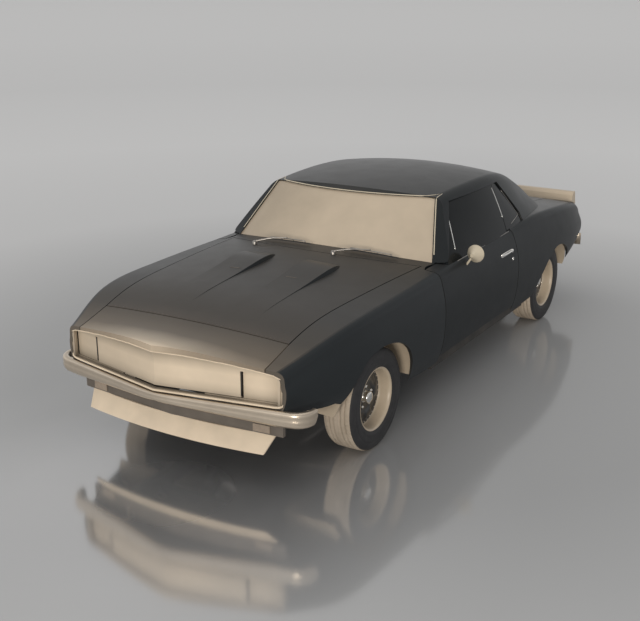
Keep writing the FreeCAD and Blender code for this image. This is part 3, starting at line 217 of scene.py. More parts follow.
# Painted shade on the windscreen towards -X
shade_rims(screen, "X", [(-0.7, 0.74), (-0.4, 0.84), (-0.05, 0.95), (0.3, 0.97), (0.7, 0.97)])
dam = beige("dam_beige", 1.32, blotch=6.0)
lip = beige("spoiler_beige", 1.0)
arch = beige("arch_beige", 0.8, (0.6, 0.75), grain=400.0, grain_strength=0.2)
rim = beige("rim_beige", 0.92, (0.32, 0.42), blotch=9.0)
cream = finish("mirror_cream", (0.52, 0.46, 0.35), (0.59, 0.52, 0.4), 12.0, (0.3, 0.38))
blade = finish("bumper_champagne", (0.56, 0.48, 0.385), (0.66, 0.57, 0.46), 5.0, (0.27, 0.33), 1200.0, 0.02,
               metallic=0.8)
valance_paint = finish("valance_taupe", (0.1, 0.085, 0.07), (0.14, 0.12, 0.1), 7.0, (0.45, 0.6))
lens = finish("lens_taupe", (0.26, 0.21, 0.165), (0.33, 0.27, 0.21), 30.0, (0.22, 0.3), 300.0, 0.3)
red_lens = finish("red_lens", (0.1, 0.012, 0.01), (0.14, 0.018, 0.014), 30.0, (0.16, 0.24), 240.0, 0.35, coat=0.6)
clear_lens = finish("clear_lens", (0.42, 0.41, 0.38), (0.52, 0.51, 0.48), 30.0, (0.1, 0.18), 260.0, 0.4, coat=0.8)
dark_glass = finish("dark_glass", (0.008, 0.01, 0.011), (0.012, 0.014, 0.015), 3.0, (0.12, 0.18), 1600.0, 0.004,
                    specular=0.08)
chassis = finish("chassis_black", (0.022, 0.021, 0.02), (0.05, 0.045, 0.04), 8.0, (0.55, 0.75), 350.0, 0.25)
iron = finish("engine_iron", (0.07, 0.065, 0.06), (0.12, 0.11, 0.1), 20.0, (0.5, 0.7), 500.0, 0.4, metallic=0.5)
trim_black = finish("grained_trim", (0.024, 0.023, 0.022), (0.034, 0.032, 0.03), 12.0, (0.5, 0.62), 700.0, 0.3)
steel = finish("dull_steel", (0.3, 0.28, 0.26), (0.4, 0.38, 0.35), 14.0, (0.3, 0.45), 900.0, 0.1, metallic=1.0)
chrome = finish("bright_trim", (0.78, 0.77, 0.74), (0.86, 0.85, 0.82), 20.0, (0.14, 0.22), 1500.0, 0.02, metallic=1.0)
rubber = finish("black_rubber", (0.018, 0.018, 0.02), (0.028, 0.028, 0.03), 16.0, (0.55, 0.7), 800.0, 0.25)
# Painted light: the tan of the tread stands in for the warm front light that it catches
tread_painted_light = finish("tread_lit_tan", (0.34, 0.285, 0.22), (0.46, 0.39, 0.31), 9.0, (0.7, 0.85), 260.0, 0.45)
disc_dark = finish("wheel_black", (0.02, 0.021, 0.022), (0.03, 0.031, 0.032), 18.0, (0.3, 0.42), 900.0, 0.06,
                   coat=0.3)
vinyl = finish("seat_vinyl", (0.03, 0.027, 0.025), (0.042, 0.038, 0.035), 10.0, (0.42, 0.55), 520.0, 0.45)

NODE_FINISH = {
    paint: ["rear_body", "trunk_lid", "roof", "door_left", "door_right"],
    hood_painted_light: ["hood", "cowl"],
    header_painted_light: ["header_panel"],
    fender_painted_light: ["front_fenders"],
    screen: ["windscreen"],
    face: ["grille", "lamp_door_left", "lamp_door_right"],
    dam: ["air_dam"],
    lip: ["spoiler"],
    arch: ["arch_liners"],
    rim: ["rim_front_left", "rim_front_right", "rim_rear_left", "rim_rear_right"],
    cream: ["mirror"],
    blade: ["front_bumper", "rear_bumper"],
    valance_paint: ["front_valance"],
    lens: ["lamps"],
    red_lens: ["tail_lamps"],
    dark_glass: ["rear_glass", "door_glass_left", "door_glass_right"],
    chassis: ["front_subframe", "rear_axle", "floor_pan", "radiator", "knuckle_left", "knuckle_right"],
    iron: ["engine"],
    trim_black: ["dashboard", "steering_wheel"],
    steel: ["exhaust"],
    rubber: ["tyre_front_left", "tyre_front_right", "tyre_rear_left", "tyre_rear_right"],
    vinyl: ["front_seats", "rear_seat"],
}
for made, names in NODE_FINISH.items():
    for name in names:
        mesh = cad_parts[name].data
        mesh.materials.clear()
        mesh.materials.append(made)


# Making pieces
def joined(parts):
    verts = []
    faces = []
    for part_verts, part_faces in parts:
        start = len(verts)
        verts += part_verts
        faces += [tuple(start + k for k in face) for face in part_faces]
    return verts, faces


def piece(name, parts, made, body="body"):
    """One object of parts, each its vertices and faces, that rides on a body."""
    verts, faces = joined(parts)
    mesh = bpy.data.meshes.new(name)
    mesh.from_pydata([tuple(v) for v in verts], [], faces)
    mesh.update()
    mesh.polygons.foreach_set("use_smooth", [True] * len(mesh.polygons))
    obj = bpy.data.objects.new(name, mesh)
    bpy.context.scene.collection.objects.link(obj)
    mesh.materials.append(made)
    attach(obj, body)
    return obj


def turns(count):
    """Equal steps of a full turn, in radians."""
    return [2 * pi * k / count for k in range(count)]


def off_axle(place, out, radius, turn):
    """A point beside a wheel's axle: out along it, and at a radius and turn about it."""
    return Vector((place[0] + out, place[1] + radius * cos(turn), place[2] + radius * sin(turn)))


def grid_faces(rows, n, ring=True, loop=False, outward=True):
    """Quads between rows of n points. A ring closes each row, and a loop joins the last row to the first."""
    faces = []
    for k in range(rows if loop else rows - 1):
        for j in range(n if ring else n - 1):
            a = k * n + j
            b = k * n + (j + 1) % n
            c = (b + n) % (rows * n)
            d = (a + n) % (rows * n)
            faces.append((a, b, c, d) if outward else (a, d, c, b))
    return faces


def end_caps(rows, n):
    return [tuple(range(n))[::-1], tuple((rows - 1) * n + j for j in range(n))]


def heading(points, k):
    """The way along a polyline at its point k."""
    return points[min(k + 1, len(points) - 1)] - points[max(k - 1, 0)]


def bar_along(points, normals, width, height):
    """A low strip with bevelled edges that lies on a surface along points, with the surface's normals."""
    shape = [(-0.5, -0.3), (-0.5, 0.55), (-0.3, 1.0), (0.3, 1.0), (0.5, 0.55), (0.5, -0.3)]
    verts = []
    for k, (point, normal) in enumerate(zip(points, normals)):
        side = heading(points, k).cross(normal).normalized()
        for s, h in shape:
            verts.append(point + side * (s * width) + normal.normalized() * (h * height))
    return verts, grid_faces(len(points), len(shape)) + end_caps(len(points), len(shape))


def surface_of(*names):
    trees = []
    for name in names:
        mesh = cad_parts[name].data
        trees.append(BVHTree.FromPolygons([v.co for v in mesh.vertices], [tuple(p.vertices) for p in mesh.polygons]))
    return trees


def cast(trees, start, way):
    best = None
    for tree in trees:
        place, normal, _, distance = tree.ray_cast(Vector(start), Vector(way))
        if place is not None and (best is None or distance < best[2]):
            best = (place, normal if normal.dot(Vector(way)) < 0 else -normal, distance)
    return best


def dropped_line(trees, starts, way, steps=24):
    """Points on the surfaces under a polyline of start points, seen along way."""
    places = [Vector(a).lerp(Vector(b), k / steps) for a, b in zip(starts, starts[1:]) for k in range(steps)]
    hits = [cast(trees, place, way) for place in places + [starts[-1]]]
    hits = [hit for hit in hits if hit is not None]
    return [hit[0] for hit in hits], [hit[1] for hit in hits]


def lathed(profile, around, place, side=1, closed=False):
    """A profile of (sideways place, radius) turned about a wheel's axle."""
    verts = [off_axle(place, side * s, r, turn) for turn in turns(around) for s, r in profile]
    faces = grid_faces(around, len(profile), closed, True)
    return verts, faces if side > 0 else [face[::-1] for face in faces]


# Tyres with a ribbed tread, notched shoulders and ringed sidewalls
sidewall = [(0.08, 0.177), (0.084, 0.182), (0.088, 0.1885), (0.0925, 0.1965), (0.096, 0.2045), (0.0985, 0.213),
            (0.098, 0.215), (0.0995, 0.226), (0.1, 0.24), (0.0995, 0.254), (0.0982, 0.257),
            (0.0988, 0.26), (0.0975, 0.27), (0.0955, 0.279), (0.092, 0.287), (0.0875, 0.2935),
            (0.082, 0.2985), (0.076, 0.3015), (0.07, 0.3035)]
tread_ribs = [(0.07, 0.052), (0.046, 0.026), (0.02, 0.0)]
crown_radius = 0.3059
crown_fall = 0.35
groove_depth = 0.007
tread_edge_radius = 0.2982
shoulder_radius = 0.2985
shoulder_place = 0.048
shoulder_notch = 0.004
tyre_steps = 180
wheel_steps = 120
slot_centre_radius = 0.125
slot_half_width = 0.021
slot_share = 0.62
slot_depth = 0.012
nut_circle = 0.064
stud_circle = 0.1585
stud_count = 30


def tyre_section():
    section = list(sidewall)
    for outer_edge, inner_edge in tread_ribs:
        for place in (outer_edge - 0.001, (outer_edge + inner_edge) / 2):
            section.append((place, crown_radius - crown_fall * place ** 2))
        if inner_edge > 0:
            section.append((inner_edge + 0.001, crown_radius - crown_fall * inner_edge ** 2))
            section.append((inner_edge - 0.0005, crown_radius - groove_depth))
            section.append((inner_edge - 0.0045, crown_radius - groove_depth))
    return section + [(-s, r) for s, r in section[::-1] if s > 0.0]


def build_tyre(tag, side, axle_y):
    section = tyre_section()
    verts, faces = lathed(section, tyre_steps, (side * wheel_centre_x, axle_y, tyre_radius), side, True)
    n = len(section)
    for k in range(0, tyre_steps, 3):
        turn = 2 * pi * k / tyre_steps
        for j, (s, r) in enumerate(section):
            if r > shoulder_radius and abs(s) > shoulder_place:
                verts[k * n + j].y -= shoulder_notch * cos(turn)
                verts[k * n + j].z -= shoulder_notch * sin(turn)
    tyre = piece("tread_tyre_" + tag, [(verts, faces)], rubber, tag + "_wheel")
    # The tread's faces take the tan of painted light
    tyre.data.materials.append(tread_painted_light)
    heights = [r for s, r in section]
    for index, face in enumerate(tyre.data.polygons):
        j = index % n
        if min(heights[j], heights[(j + 1) % n]) > tread_edge_radius:
            face.material_index = 1
    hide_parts("tyre_" + tag)


# Wheels: lathed barrel and disc with a pressed ring of slots, bright centre cap, lug nuts and rim studs
barrel_profile = [(-0.088, 0.178), (-0.088, 0.1865), (-0.0865, 0.188), (-0.082, 0.1872), (-0.08, 0.1765),
                  (-0.06, 0.1745), (-0.03, 0.174), (0.02, 0.174), (0.05, 0.1745), (0.08, 0.1765),
                  (0.082, 0.1872), (0.0865, 0.188), (0.0885, 0.1868), (0.0888, 0.1845), (0.087, 0.1815),
                  (0.084, 0.1775), (0.08, 0.1745), (0.064, 0.1725), (0.04, 0.1722), (0.022, 0.1715),
                  (0.013, 0.17), (0.0095, 0.166)]
disc_profile = [(0.0095, 0.166), (0.0085, 0.16), (0.009, 0.151), (0.0125, 0.143), (0.0165, 0.133),
                (0.018, 0.12), (0.0165, 0.107), (0.012, 0.096), (0.0085, 0.088), (0.008, 0.074),
                (0.0085, 0.057), (0.0105, 0.048), (0.013, 0.043), (0.0135, 0.036)]
cap_profile = [(0.0135, 0.04), (0.015, 0.0408), (0.017, 0.0402), (0.02, 0.0375), (0.038, 0.036),
               (0.044, 0.0345), (0.048, 0.0305), (0.05, 0.023), (0.0508, 0.012), (0.051, 0.0001)]
back_profile = [(0.0095, 0.166), (-0.004, 0.166), (-0.008, 0.13), (-0.006, 0.06), (-0.009, 0.0181)]


def dome(place, radius, height, side, around=16):
    """Low turned knob that points out of a wheel."""
    rings = [(0.0, 1.0), (0.55, 0.96), (0.85, 0.72), (0.98, 0.38), (1.0, 0.02)]
    verts = [off_axle(place, side * rise * height, share * radius, turn)
             for rise, share in rings for turn in turns(around)]
    faces = grid_faces(len(rings), around)
    return verts, faces if side > 0 else [face[::-1] for face in faces]


def build_wheel(tag, side, axle_y):
    centre = (side * wheel_centre_x, axle_y, tyre_radius)
    body = tag + "_wheel"
    barrel = piece("wheel_barrel_" + tag, [lathed(barrel_profile, wheel_steps, centre, side)], rim, body)
    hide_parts("rim_" + tag)
    verts, faces = lathed(disc_profile, wheel_steps, centre, side)
    n = len(disc_profile)
    for k in range(wheel_steps):
        slot_turn = abs(k % 24 - 12) / 12
        for j, (s, r) in enumerate(disc_profile):
            across = (r - slot_centre_radius) / slot_half_width
            depth = max(0.0, 1 - (slot_turn / slot_share) ** 4) * max(0.0, 1 - across ** 4)
            verts[k * n + j].x -= side * slot_depth * depth
    piece("wheel_disc_" + tag, [(verts, faces), lathed(back_profile, 60, centre, -side)], disc_dark, body)
    piece("wheel_cap_" + tag, [lathed(cap_profile, 72, centre, side)], chrome, body)
    studs = [dome(off_axle(centre, side * 0.008, nut_circle, turn + 0.3), 0.0105, 0.018, side, 6)
             for turn in turns(5)]
    studs += [dome(off_axle(centre, side * 0.0085, stud_circle, turn + pi / stud_count), 0.0036, 0.004, side, 8)
              for turn in turns(stud_count)]
    piece("wheel_studs_" + tag, studs, chrome, body)


for end, axle_y in (("front", front_axle_y), ("rear", rear_axle_y)):
    for side_name, side in SIDES:
        build_tyre(end + "_" + side_name, side, axle_y)
        build_wheel(end + "_" + side_name, side, axle_y)


# Trim and small parts that lie on the bodywork
def add_trim(name, lines, body, width, height, made=chrome):
    parts = [bar_along(points, normals, width, height) for points, normals in lines if len(points) > 1]
    piece(name, parts, made, body)


def tube(points, radius, around=10, ends=True):
    """A round rod along points; radius may be one number or one for each point."""
    count = len(points)
    radii = radius if isinstance(radius, list) else [radius] * count
    points = [Vector(q) for q in points]
    verts = []
    ahead = (points[1] - points[0]).normalized()
    across = ahead.orthogonal().normalized()
    for k, point in enumerate(points):
        ahead = heading(points, k).normalized()
        across = (across - ahead * across.dot(ahead)).normalized()
        over = ahead.cross(across)
        verts += [point + (across * cos(turn) + over * sin(turn)) * radii[k] for turn in turns(around)]
    faces = grid_faces(count, around)
    return verts, faces + end_caps(count, around) if ends else faces


def curve_through(points, steps=8):
    """Catmull-Rom points through a few given points."""
    points = [Vector(q) for q in points]
    padded = [points[0] * 2 - points[1]] + points + [points[-1] * 2 - points[-2]]
    out = []
    for a, b, c, d in zip(padded, padded[1:], padded[2:], padded[3:]):
        for k in range(steps):
            t = k / steps
            out.append(((b * 2) + (c - a) * t + (a * 2 - b * 5 + c * 4 - d) * t ** 2
                        + (b * 3 - a - c * 3 + d) * t ** 3) / 2)
    out.append(points[-1])
    return out


box_power = 2 / 7


def soft_box(centre, size, steps=4, turned=None):
    """Closed box with rounded edges, a superellipsoid, turned by a matrix about its centre."""
    half = [d / 2 for d in size]
    levels = 4 * steps
    around = 8 * steps

    def lift(value):
        return (abs(value) ** box_power) * (1 if value >= 0 else -1)

    verts = []
    for k in range(1, levels):
        up = -pi / 2 + pi * k / levels
        for turn in turns(around):
            verts.append(Vector((half[0] * lift(cos(up)) * lift(cos(turn)), half[1] * lift(cos(up)) * lift(sin(turn)),
                                 half[2] * lift(sin(up)))))
    bottom = len(verts)
    top = bottom - around
    verts += [Vector((0, 0, -half[2])), Vector((0, 0, half[2]))]
    faces = grid_faces(levels - 1, around)
    for j in range(around):
        faces.append((bottom, (j + 1) % around, j))
        faces.append((bottom + 1, top + j, top + (j + 1) % around))
    if turned is not None:
        verts = [turned @ v for v in verts]
    return [v + Vector(centre) for v in verts], faces


def turned_part(profile, place, around, axis=(0, 1, 0)):
    """A profile of (place along the axis, radius) turned about an axis through place, most often along the car."""
    axis = Vector(axis).normalized()
    across = axis.orthogonal().normalized()
    over = axis.cross(across)
    verts = []
    for turn in turns(around):
        way = across * cos(turn) + over * sin(turn)
        for along, radius in profile:
            verts.append(Vector(place) + axis * along + way * radius)
    return verts, grid_faces(around, len(profile), False, True, False)


out_x = 1.5
grip_line = [(0.001, 0.262, 0.772), (0.009, 0.276, 0.773), (0.012, 0.31, 0.774), (0.012, 0.4, 0.774),
             (0.008, 0.424, 0.773)]
handle_z = 0.772
handle_button_y = 0.436
sill_strip_z = 0.318
for side_name, side in SIDES:
    door_body = side_name + "_door"
    glass = surface_of("door_glass_" + side_name)
    way = (-side, 0, 0)
    bars = [dropped_line(glass, [(side * out_x, -0.327, 0.936), (side * out_x, -0.2, 1.185)], way),
            dropped_line(glass, [(side * out_x, 0.478, 0.92), (side * out_x, 0.528, 1.18)], way)]
    add_trim("window_bars_" + side_name, bars, door_body, 0.008, 0.003)
    door = surface_of("door_" + side_name)
    belt = dropped_line(door, [(side * 0.84, -0.36, 1.2), (side * 0.84, 0.5, 1.2)], (0, 0, -1))
    add_trim("belt_line_" + side_name, [belt], door_body, 0.005, 0.002, steel)
    quarter = surface_of("rear_glass")
    edge = [(side * out_x, 0.59, 0.925), (side * out_x, 0.775, 0.955), (side * out_x, 0.668, 1.14)]
    add_trim("quarter_trim_" + side_name, [dropped_line(quarter, edge, way, 16)], "body", 0.004, 0.002, steel)

    # Door handle: a base plate, a lift bar and a push button, with the lock below it
    door_x = cast(door, (side * out_x, 0.3, handle_z), way)[0].x
    grip = [Vector((door_x + side * out, y, z)) for out, y, z in grip_line]
    base = soft_box((door_x + side * 0.0005, 0.345, handle_z), (0.008, 0.19, 0.028))
    button = turned_part([(-0.004, 0.013), (0.008, 0.013), (0.013, 0.011), (0.015, 0.0002)],
                         (door_x + side * 0.001, handle_button_y, handle_z), 24, (side, 0, 0))
    lock_spot = cast(door, (side * out_x, handle_button_y, 0.715), way)[0]
    lock = turned_part([(-0.002, 0.012), (0.003, 0.012), (0.005, 0.009), (0.0035, 0.0002)], lock_spot, 20,
                       (side, 0, 0))
    grip_part = tube(curve_through(grip, 6), 0.0055, 10)
    piece("door_handle_" + side_name, [base, grip_part, button, lock], chrome, door_body)

    sill_ends = [(side * out_x, -0.62, sill_strip_z), (side * out_x, 0.98, sill_strip_z)]
    sill = dropped_line(surface_of("floor_pan"), sill_ends, way, 40)
    add_trim("sill_strip_" + side_name, [sill], "body", 0.012, 0.004, steel)


# Windscreen frame and wipers
screen_edge = [(-0.735, -2, 0.93), (-0.612, -2, 1.244), (0.612, -2, 1.244), (0.735, -2, 0.93)]
add_trim("screen_trim", [dropped_line(surface_of("roof"), screen_edge, (0, 1, 0), 40)], "body", 0.007, 0.002, cream)

wiper_ground = surface_of("cowl", "windscreen", "hood")


def over_ground(x, y, lift):
    for step in (0, 0.008, -0.008, 0.016, -0.016):
        hit = cast(wiper_ground, (x, y + step, 1.6), (0, 0, -1))
        if hit is not None:
            return Vector((x, y, hit[0].z + lift))


def raised(point, height):
    return point + Vector((0, 0, height))


def build_wiper(name, pivot, reach):
    start = over_ground(*pivot, 0.004)
    line = [over_ground(reach[0][0] + (reach[1][0] - reach[0][0]) * k / 16,
                        reach[0][1] + (reach[1][1] - reach[0][1]) * k / 16, 0.02) for k in range(17)]
    post = turned_part([(-0.006, 0.016), (0.01, 0.015), (0.018, 0.011), (0.022, 0.0002)], start, 20, (0, 0, 1))
    middle = line[8]
    arm = tube(curve_through([raised(start, 0.014), raised((start + middle) / 2, 0.022), raised(middle, 0.012)], 8),
               [0.006] * 9 + [0.004] * 8, 8)
    spine = tube([raised(v, 0.006) for v in line[2:-2]], 0.0035, 8)
    claws = [tube([raised(line[k], 0.006), raised(line[k], -0.002)], 0.0035, 8) for k in (2, 6, 10, 14)]
    piece(name + "_arm", [post, arm, spine] + claws, steel)
    piece(name + "_blade", [tube([raised(v, -0.006) for v in line], 0.004, 8)], rubber)


build_wiper("wiper_left", (0.18, -0.8), ((0.2, -0.7), (0.56, -0.64)))
build_wiper("wiper_right", (-0.426, -0.8), ((-0.416, -0.69), (-0.04, -0.715)))


# Nose: bright bead round the opening, a real lip whose bright colour is a painted highlight; dark strips beside the
# lamp doors, painted shade in their gaps; bezels
front_trees = surface_of("header_panel", "front_fenders")
nose_tip_y = -2.352
nose_slope = 0.2
opening_half = 0.705
opening_low_z = 0.513
seam_from = 0.63
seam_to = 0.68
lamp_shadow_line_x = 0.4965


def nose_plane(x):
    return nose_tip_y + nose_slope * abs(x)


def lip_height(x):
    """Height of the under edge of the panels above the opening, seen from the front."""
    z = 0.6
    while z < 0.75:
        hit = cast(front_trees, (x, -3, z), (0, 1, 0))
        if hit is not None and hit[0].y < nose_plane(x) + 0.03:
            return z
        z += 0.002
    return z


def opening_line():
    across = [opening_half * (k / 30 - 1) for k in range(61)]
    points = [(x, nose_plane(x) - 0.001, lip_height(x) - 0.001) for x in across if not seam_from < abs(x) < seam_to]
    right = [(0.724, -2.203, points[-1][2] - 0.008), (0.731, -2.199, points[-1][2] - 0.03), (0.731, -2.199, 0.545),
             (0.725, -2.203, 0.522), (0.705, -2.21, 0.514)]
    low = [(x, nose_plane(x) - 0.001, opening_low_z) for x in across[-2:0:-1]]
    left = [(-x, y, z) for x, y, z in right[::-1]]
    ring = [Vector(q) for q in points + right + low + left]
    return ring + ring[:2]


# The bead's bright beige is a painted highlight along the lip
bead_line = opening_line()
bead_radii = [0.0032 if v.z > 0.66 else 0.006 for v in bead_line]
piece("nose_bead", [tube(bead_line, bead_radii, 8, False)], dam)
for side_name, side in SIDES:
    strip = soft_box((side * 0.718, -2.198, 0.603), (0.034, 0.012, 0.16))
    piece("lamp_bezel_" + side_name, [strip], face)
    # Painted shade: a dark strip where the lamp door's gap lies in shade
    seam = [Vector((side * lamp_shadow_line_x, nose_plane(lamp_shadow_line_x) + 0.0125, z)) for z in (0.545, 0.6, 0.65, 0.69)]
    piece("lamp_shadow_line_" + side_name, [tube(seam, 0.0035, 8)], trim_black)


# Bumpers: one smooth bar with a rounded face, swept round the corners
bar_section = [(-0.034, 0.02), (-0.034, 0.94), (-0.028, 0.985), (-0.018, 1.0), (-0.009, 0.985), (-0.003, 0.93),
               (0.0, 0.84), (0.0, 0.7), (-0.002, 0.6), (0.0, 0.5), (0.0, 0.36), (-0.004, 0.2), (-0.011, 0.08),
               (-0.02, 0.01), (-0.028, 0.0)]
end_rise = 0.034


def swept_bar(path, lows, tops):
    """A bumper bar's section swept along a level path, between heights given for each point of the path."""
    path = [Vector((x, y, 0)) for x, y in path]
    count = len(path)
    n = len(bar_section)
    verts = []
    for k, point in enumerate(path):
        ahead = heading(path, k)
        out = Vector((ahead.y, -ahead.x, 0)).normalized()
        for outward, share in bar_section:
            verts.append(point + out * outward + Vector((0, 0, lows[k] + (tops[k] - lows[k]) * share)))
    return verts, grid_faces(count, n, outward=False) + [cap[::-1] for cap in end_caps(count, n)]


def bumper_path(half, centre_y, slope, corner_radius, end_y, forward):
    """Half plan of a bumper: a shallow arrow, a round corner, and an end that runs along the side."""
    lean = atan(slope)
    last_x = half - corner_radius + corner_radius * sin(lean)
    points = []
    for k in range(29):
        x = last_x * k / 28
        ease = (x * x / 0.1 + 0.1) / 2 if x < 0.1 else x
        points.append((x, centre_y - forward * slope * ease))
    centre = (half - corner_radius, points[-1][1] - forward * corner_radius * cos(lean))
    for k in range(1, 15):
        turn = lean + (pi / 2 - lean) * k / 14
        points.append((centre[0] + corner_radius * sin(turn), centre[1] + forward * corner_radius * cos(turn)))
    last_y = points[-1][1]
    for k in range(1, 9):
        points.append((half, last_y + (end_y - last_y) * k / 8))
    return points


def build_bumper(name, node, half, centre_y, slope, corner_radius, end_y, forward, low_of, top, arms):
    run = bumper_path(half, centre_y, slope, corner_radius, end_y, forward)
    side_start = len(run) - 9
    lows = [low_of(x) + end_rise * (max(0, k - side_start) / 8) ** 1.5 for k, (x, y) in enumerate(run)]
    whole = [(-x, y) for x, y in run[:0:-1]] + run
    lows = lows[:0:-1] + lows
    tops = [top] * len(whole)
    if forward > 0:
        whole = whole[::-1]
    bar = piece(name, [swept_bar(whole, lows, tops)] + arms, blade)
    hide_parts(node)


front_arms = [soft_box((side * 0.4, y, z), size) for side in (1, -1) for y, z, size in (
    (-2.207, 0.461, (0.012, 0.14, 0.024)), (-2.172, 0.428, (0.012, 0.024, 0.094)))]
rear_arms = [soft_box((side * 0.4, 2.262, 0.48), (0.012, 0.08, 0.014)) for side in (1, -1)]
build_bumper("bumper_bar_front", "front_bumper", 0.866, -2.373, 0.2, 0.115, -2.09, -1,
             lambda x: 0.448 - 0.04 * min(1.0, abs(x) / 0.69), 0.5, front_arms)
build_bumper("bumper_bar_rear", "rear_bumper", 0.811, 2.334, 0.07, 0.105, 2.18, 1, lambda x: 0.429, 0.531, rear_arms)


# Seats: cushions and backs swollen by a cloth simulation, then pleated
def remeshed(obj, size):
    modifier = obj.modifiers.new("remesh", "REMESH")
    modifier.mode = "VOXEL"
    modifier.voxel_size = size
    bake_modifiers(obj)


def bake_modifiers(obj):
    graph = bpy.context.evaluated_depsgraph_get()
    made = bpy.data.meshes.new_from_object(obj.evaluated_get(graph))
    obj.modifiers.clear()
    obj.data = made


cloth_frames = 20


def swell(obj, pressure, limit):
    """Cloth pressure with no gravity; no point moves further than the limit."""
    before = [v.co.copy() for v in obj.data.vertices]
    modifier = obj.modifiers.new("cloth", "CLOTH")
    settings = modifier.settings
    settings.use_pressure = True
    settings.uniform_pressure_force = pressure
    settings.effector_weights.gravity = 0
    settings.mass = 0.3
    modifier.point_cache.frame_start = 1
    modifier.point_cache.frame_end = cloth_frames
    scene = bpy.context.scene
    for frame_number in range(1, cloth_frames + 1):
        scene.frame_set(frame_number)
    bake_modifiers(obj)
    scene.frame_set(1)
    for vert, start in zip(obj.data.vertices, before):
        move = vert.co - start
        if move.length > limit:
            vert.co = start + move.normalized() * limit


def pleat(obj, lines, depth, width, inside):
    """Sewn channels: points near the lines sink along their normals."""
    mesh = obj.data
    normals = [v.normal.copy() for v in mesh.vertices]
    for vert, normal in zip(mesh.vertices, normals):
        if not inside(vert.co):
            continue
        gap = min(abs(vert.co.x - x) for x in lines)
        vert.co = vert.co - normal * (depth * exp(-(gap / width) ** 2))


def lean_back(degrees):
    return Matrix.Rotation(radians(-degrees), 3, "X")


def build_seat_pair(name, node, parts, lines, inside, voxel):
    obj = piece(name, parts, vinyl)
    remeshed(obj, voxel)
    swell(obj, 4.0, 0.022)
    pleat(obj, lines, 0.007, 0.01, inside)
    smooth = obj.modifiers.new("smooth", "SUBSURF")
    smooth.levels = 1
    smooth.render_levels = 1
    bake_modifiers(obj)
    obj.data.polygons.foreach_set("use_smooth", [True] * len(obj.data.polygons))
    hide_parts(node)


seat_x = 0.355
rear_seat_x = 0.278
pleat_step = 0.058
front_parts = []
front_lines = []
rear_parts = []
rear_lines = []
for side in (1, -1):
    front_parts.append(soft_box((side * seat_x, 0.05, 0.405), (0.445, 0.4, 0.125)))
    front_parts.append(soft_box((side * seat_x, 0.335, 0.665), (0.435, 0.1, 0.43), turned=lean_back(16)))
    front_lines += [side * seat_x + pleat_step * k for k in (-2.5, -1.5, -0.5, 0.5, 1.5, 2.5)]
    rear_parts.append(soft_box((side * rear_seat_x, 0.9, 0.4), (0.52, 0.37, 0.125)))
    rear_parts.append(soft_box((side * rear_seat_x, 1.135, 0.605), (0.52, 0.1, 0.36), turned=lean_back(18)))
    rear_lines += [side * rear_seat_x + pleat_step * k for k in (-3, -2, -1, 0, 1, 2, 3)]


def front_panel(v):
    return abs(abs(v.x) - seat_x) < 0.165 and v.z > 0.42 and v.y > -0.09


def rear_panel(v):
    return abs(abs(v.x) - rear_seat_x) < 0.205 and v.z > 0.42 and v.y > 0.76


build_seat_pair("front_seats_vinyl", "front_seats", front_parts, front_lines, front_panel, 0.011)
build_seat_pair("rear_seat_vinyl", "rear_seat", rear_parts, rear_lines, rear_panel, 0.012)

pedestals = []
for side in (1, -1):
    pedestals.append(soft_box((side * seat_x, 0.06, 0.3), (0.38, 0.36, 0.07)))
    for rail in (-0.15, 0.15):
        pedestals.append(soft_box((side * seat_x + rail, 0.06, 0.268), (0.03, 0.42, 0.014)))
pedestals.append(soft_box((0, 0.9, 0.3), (1.06, 0.37, 0.07)))
piece("seat_frames", pedestals, trim_black)

# Dashboard instruments, glove box, radio, gear lever and pedals
gauges = []
dials = []
for x, z, radius in ((0.27, 0.77, 0.052), (0.44, 0.77, 0.052), (0.355, 0.806, 0.022)):
    place = (x, -0.4355, z)
    gauges.append(turned_part([(-0.002, radius), (0.01, radius), (0.013, radius - 0.003), (0.012, radius - 0.006),
                               (0.003, radius - 0.008)], place, 40))
    dials.append(turned_part([(0.002, radius - 0.007), (0.0035, radius * 0.5), (0.0035, 0.0002)], place, 40))
    gauges.append(soft_box((x + radius * 0.25, -0.431, z + radius * 0.25), (radius * 0.8, 0.002, 0.003), 2,
                           Matrix.Rotation(radians(-45), 3, "Y")))
for x, z in ((-0.06, 0.735), (0.06, 0.735)):
    gauges.append(turned_part([(-0.002, 0.011), (0.014, 0.01), (0.017, 0.008), (0.018, 0.0002)], (x, -0.4355, z), 20))
gauges.append(soft_box((-0.355, -0.436, 0.752), (0.4, 0.006, 0.004)))
piece("gauge_rims", gauges, chrome)
piece("gauge_faces", dials, rubber)
panels = [soft_box((-0.355, -0.436, 0.775), (0.42, 0.01, 0.11)),
          soft_box((0, -0.436, 0.772), (0.19, 0.012, 0.06)),
          soft_box((0.355, -0.437, 0.775), (0.38, 0.008, 0.125))]
piece("dash_panels", panels, vinyl)

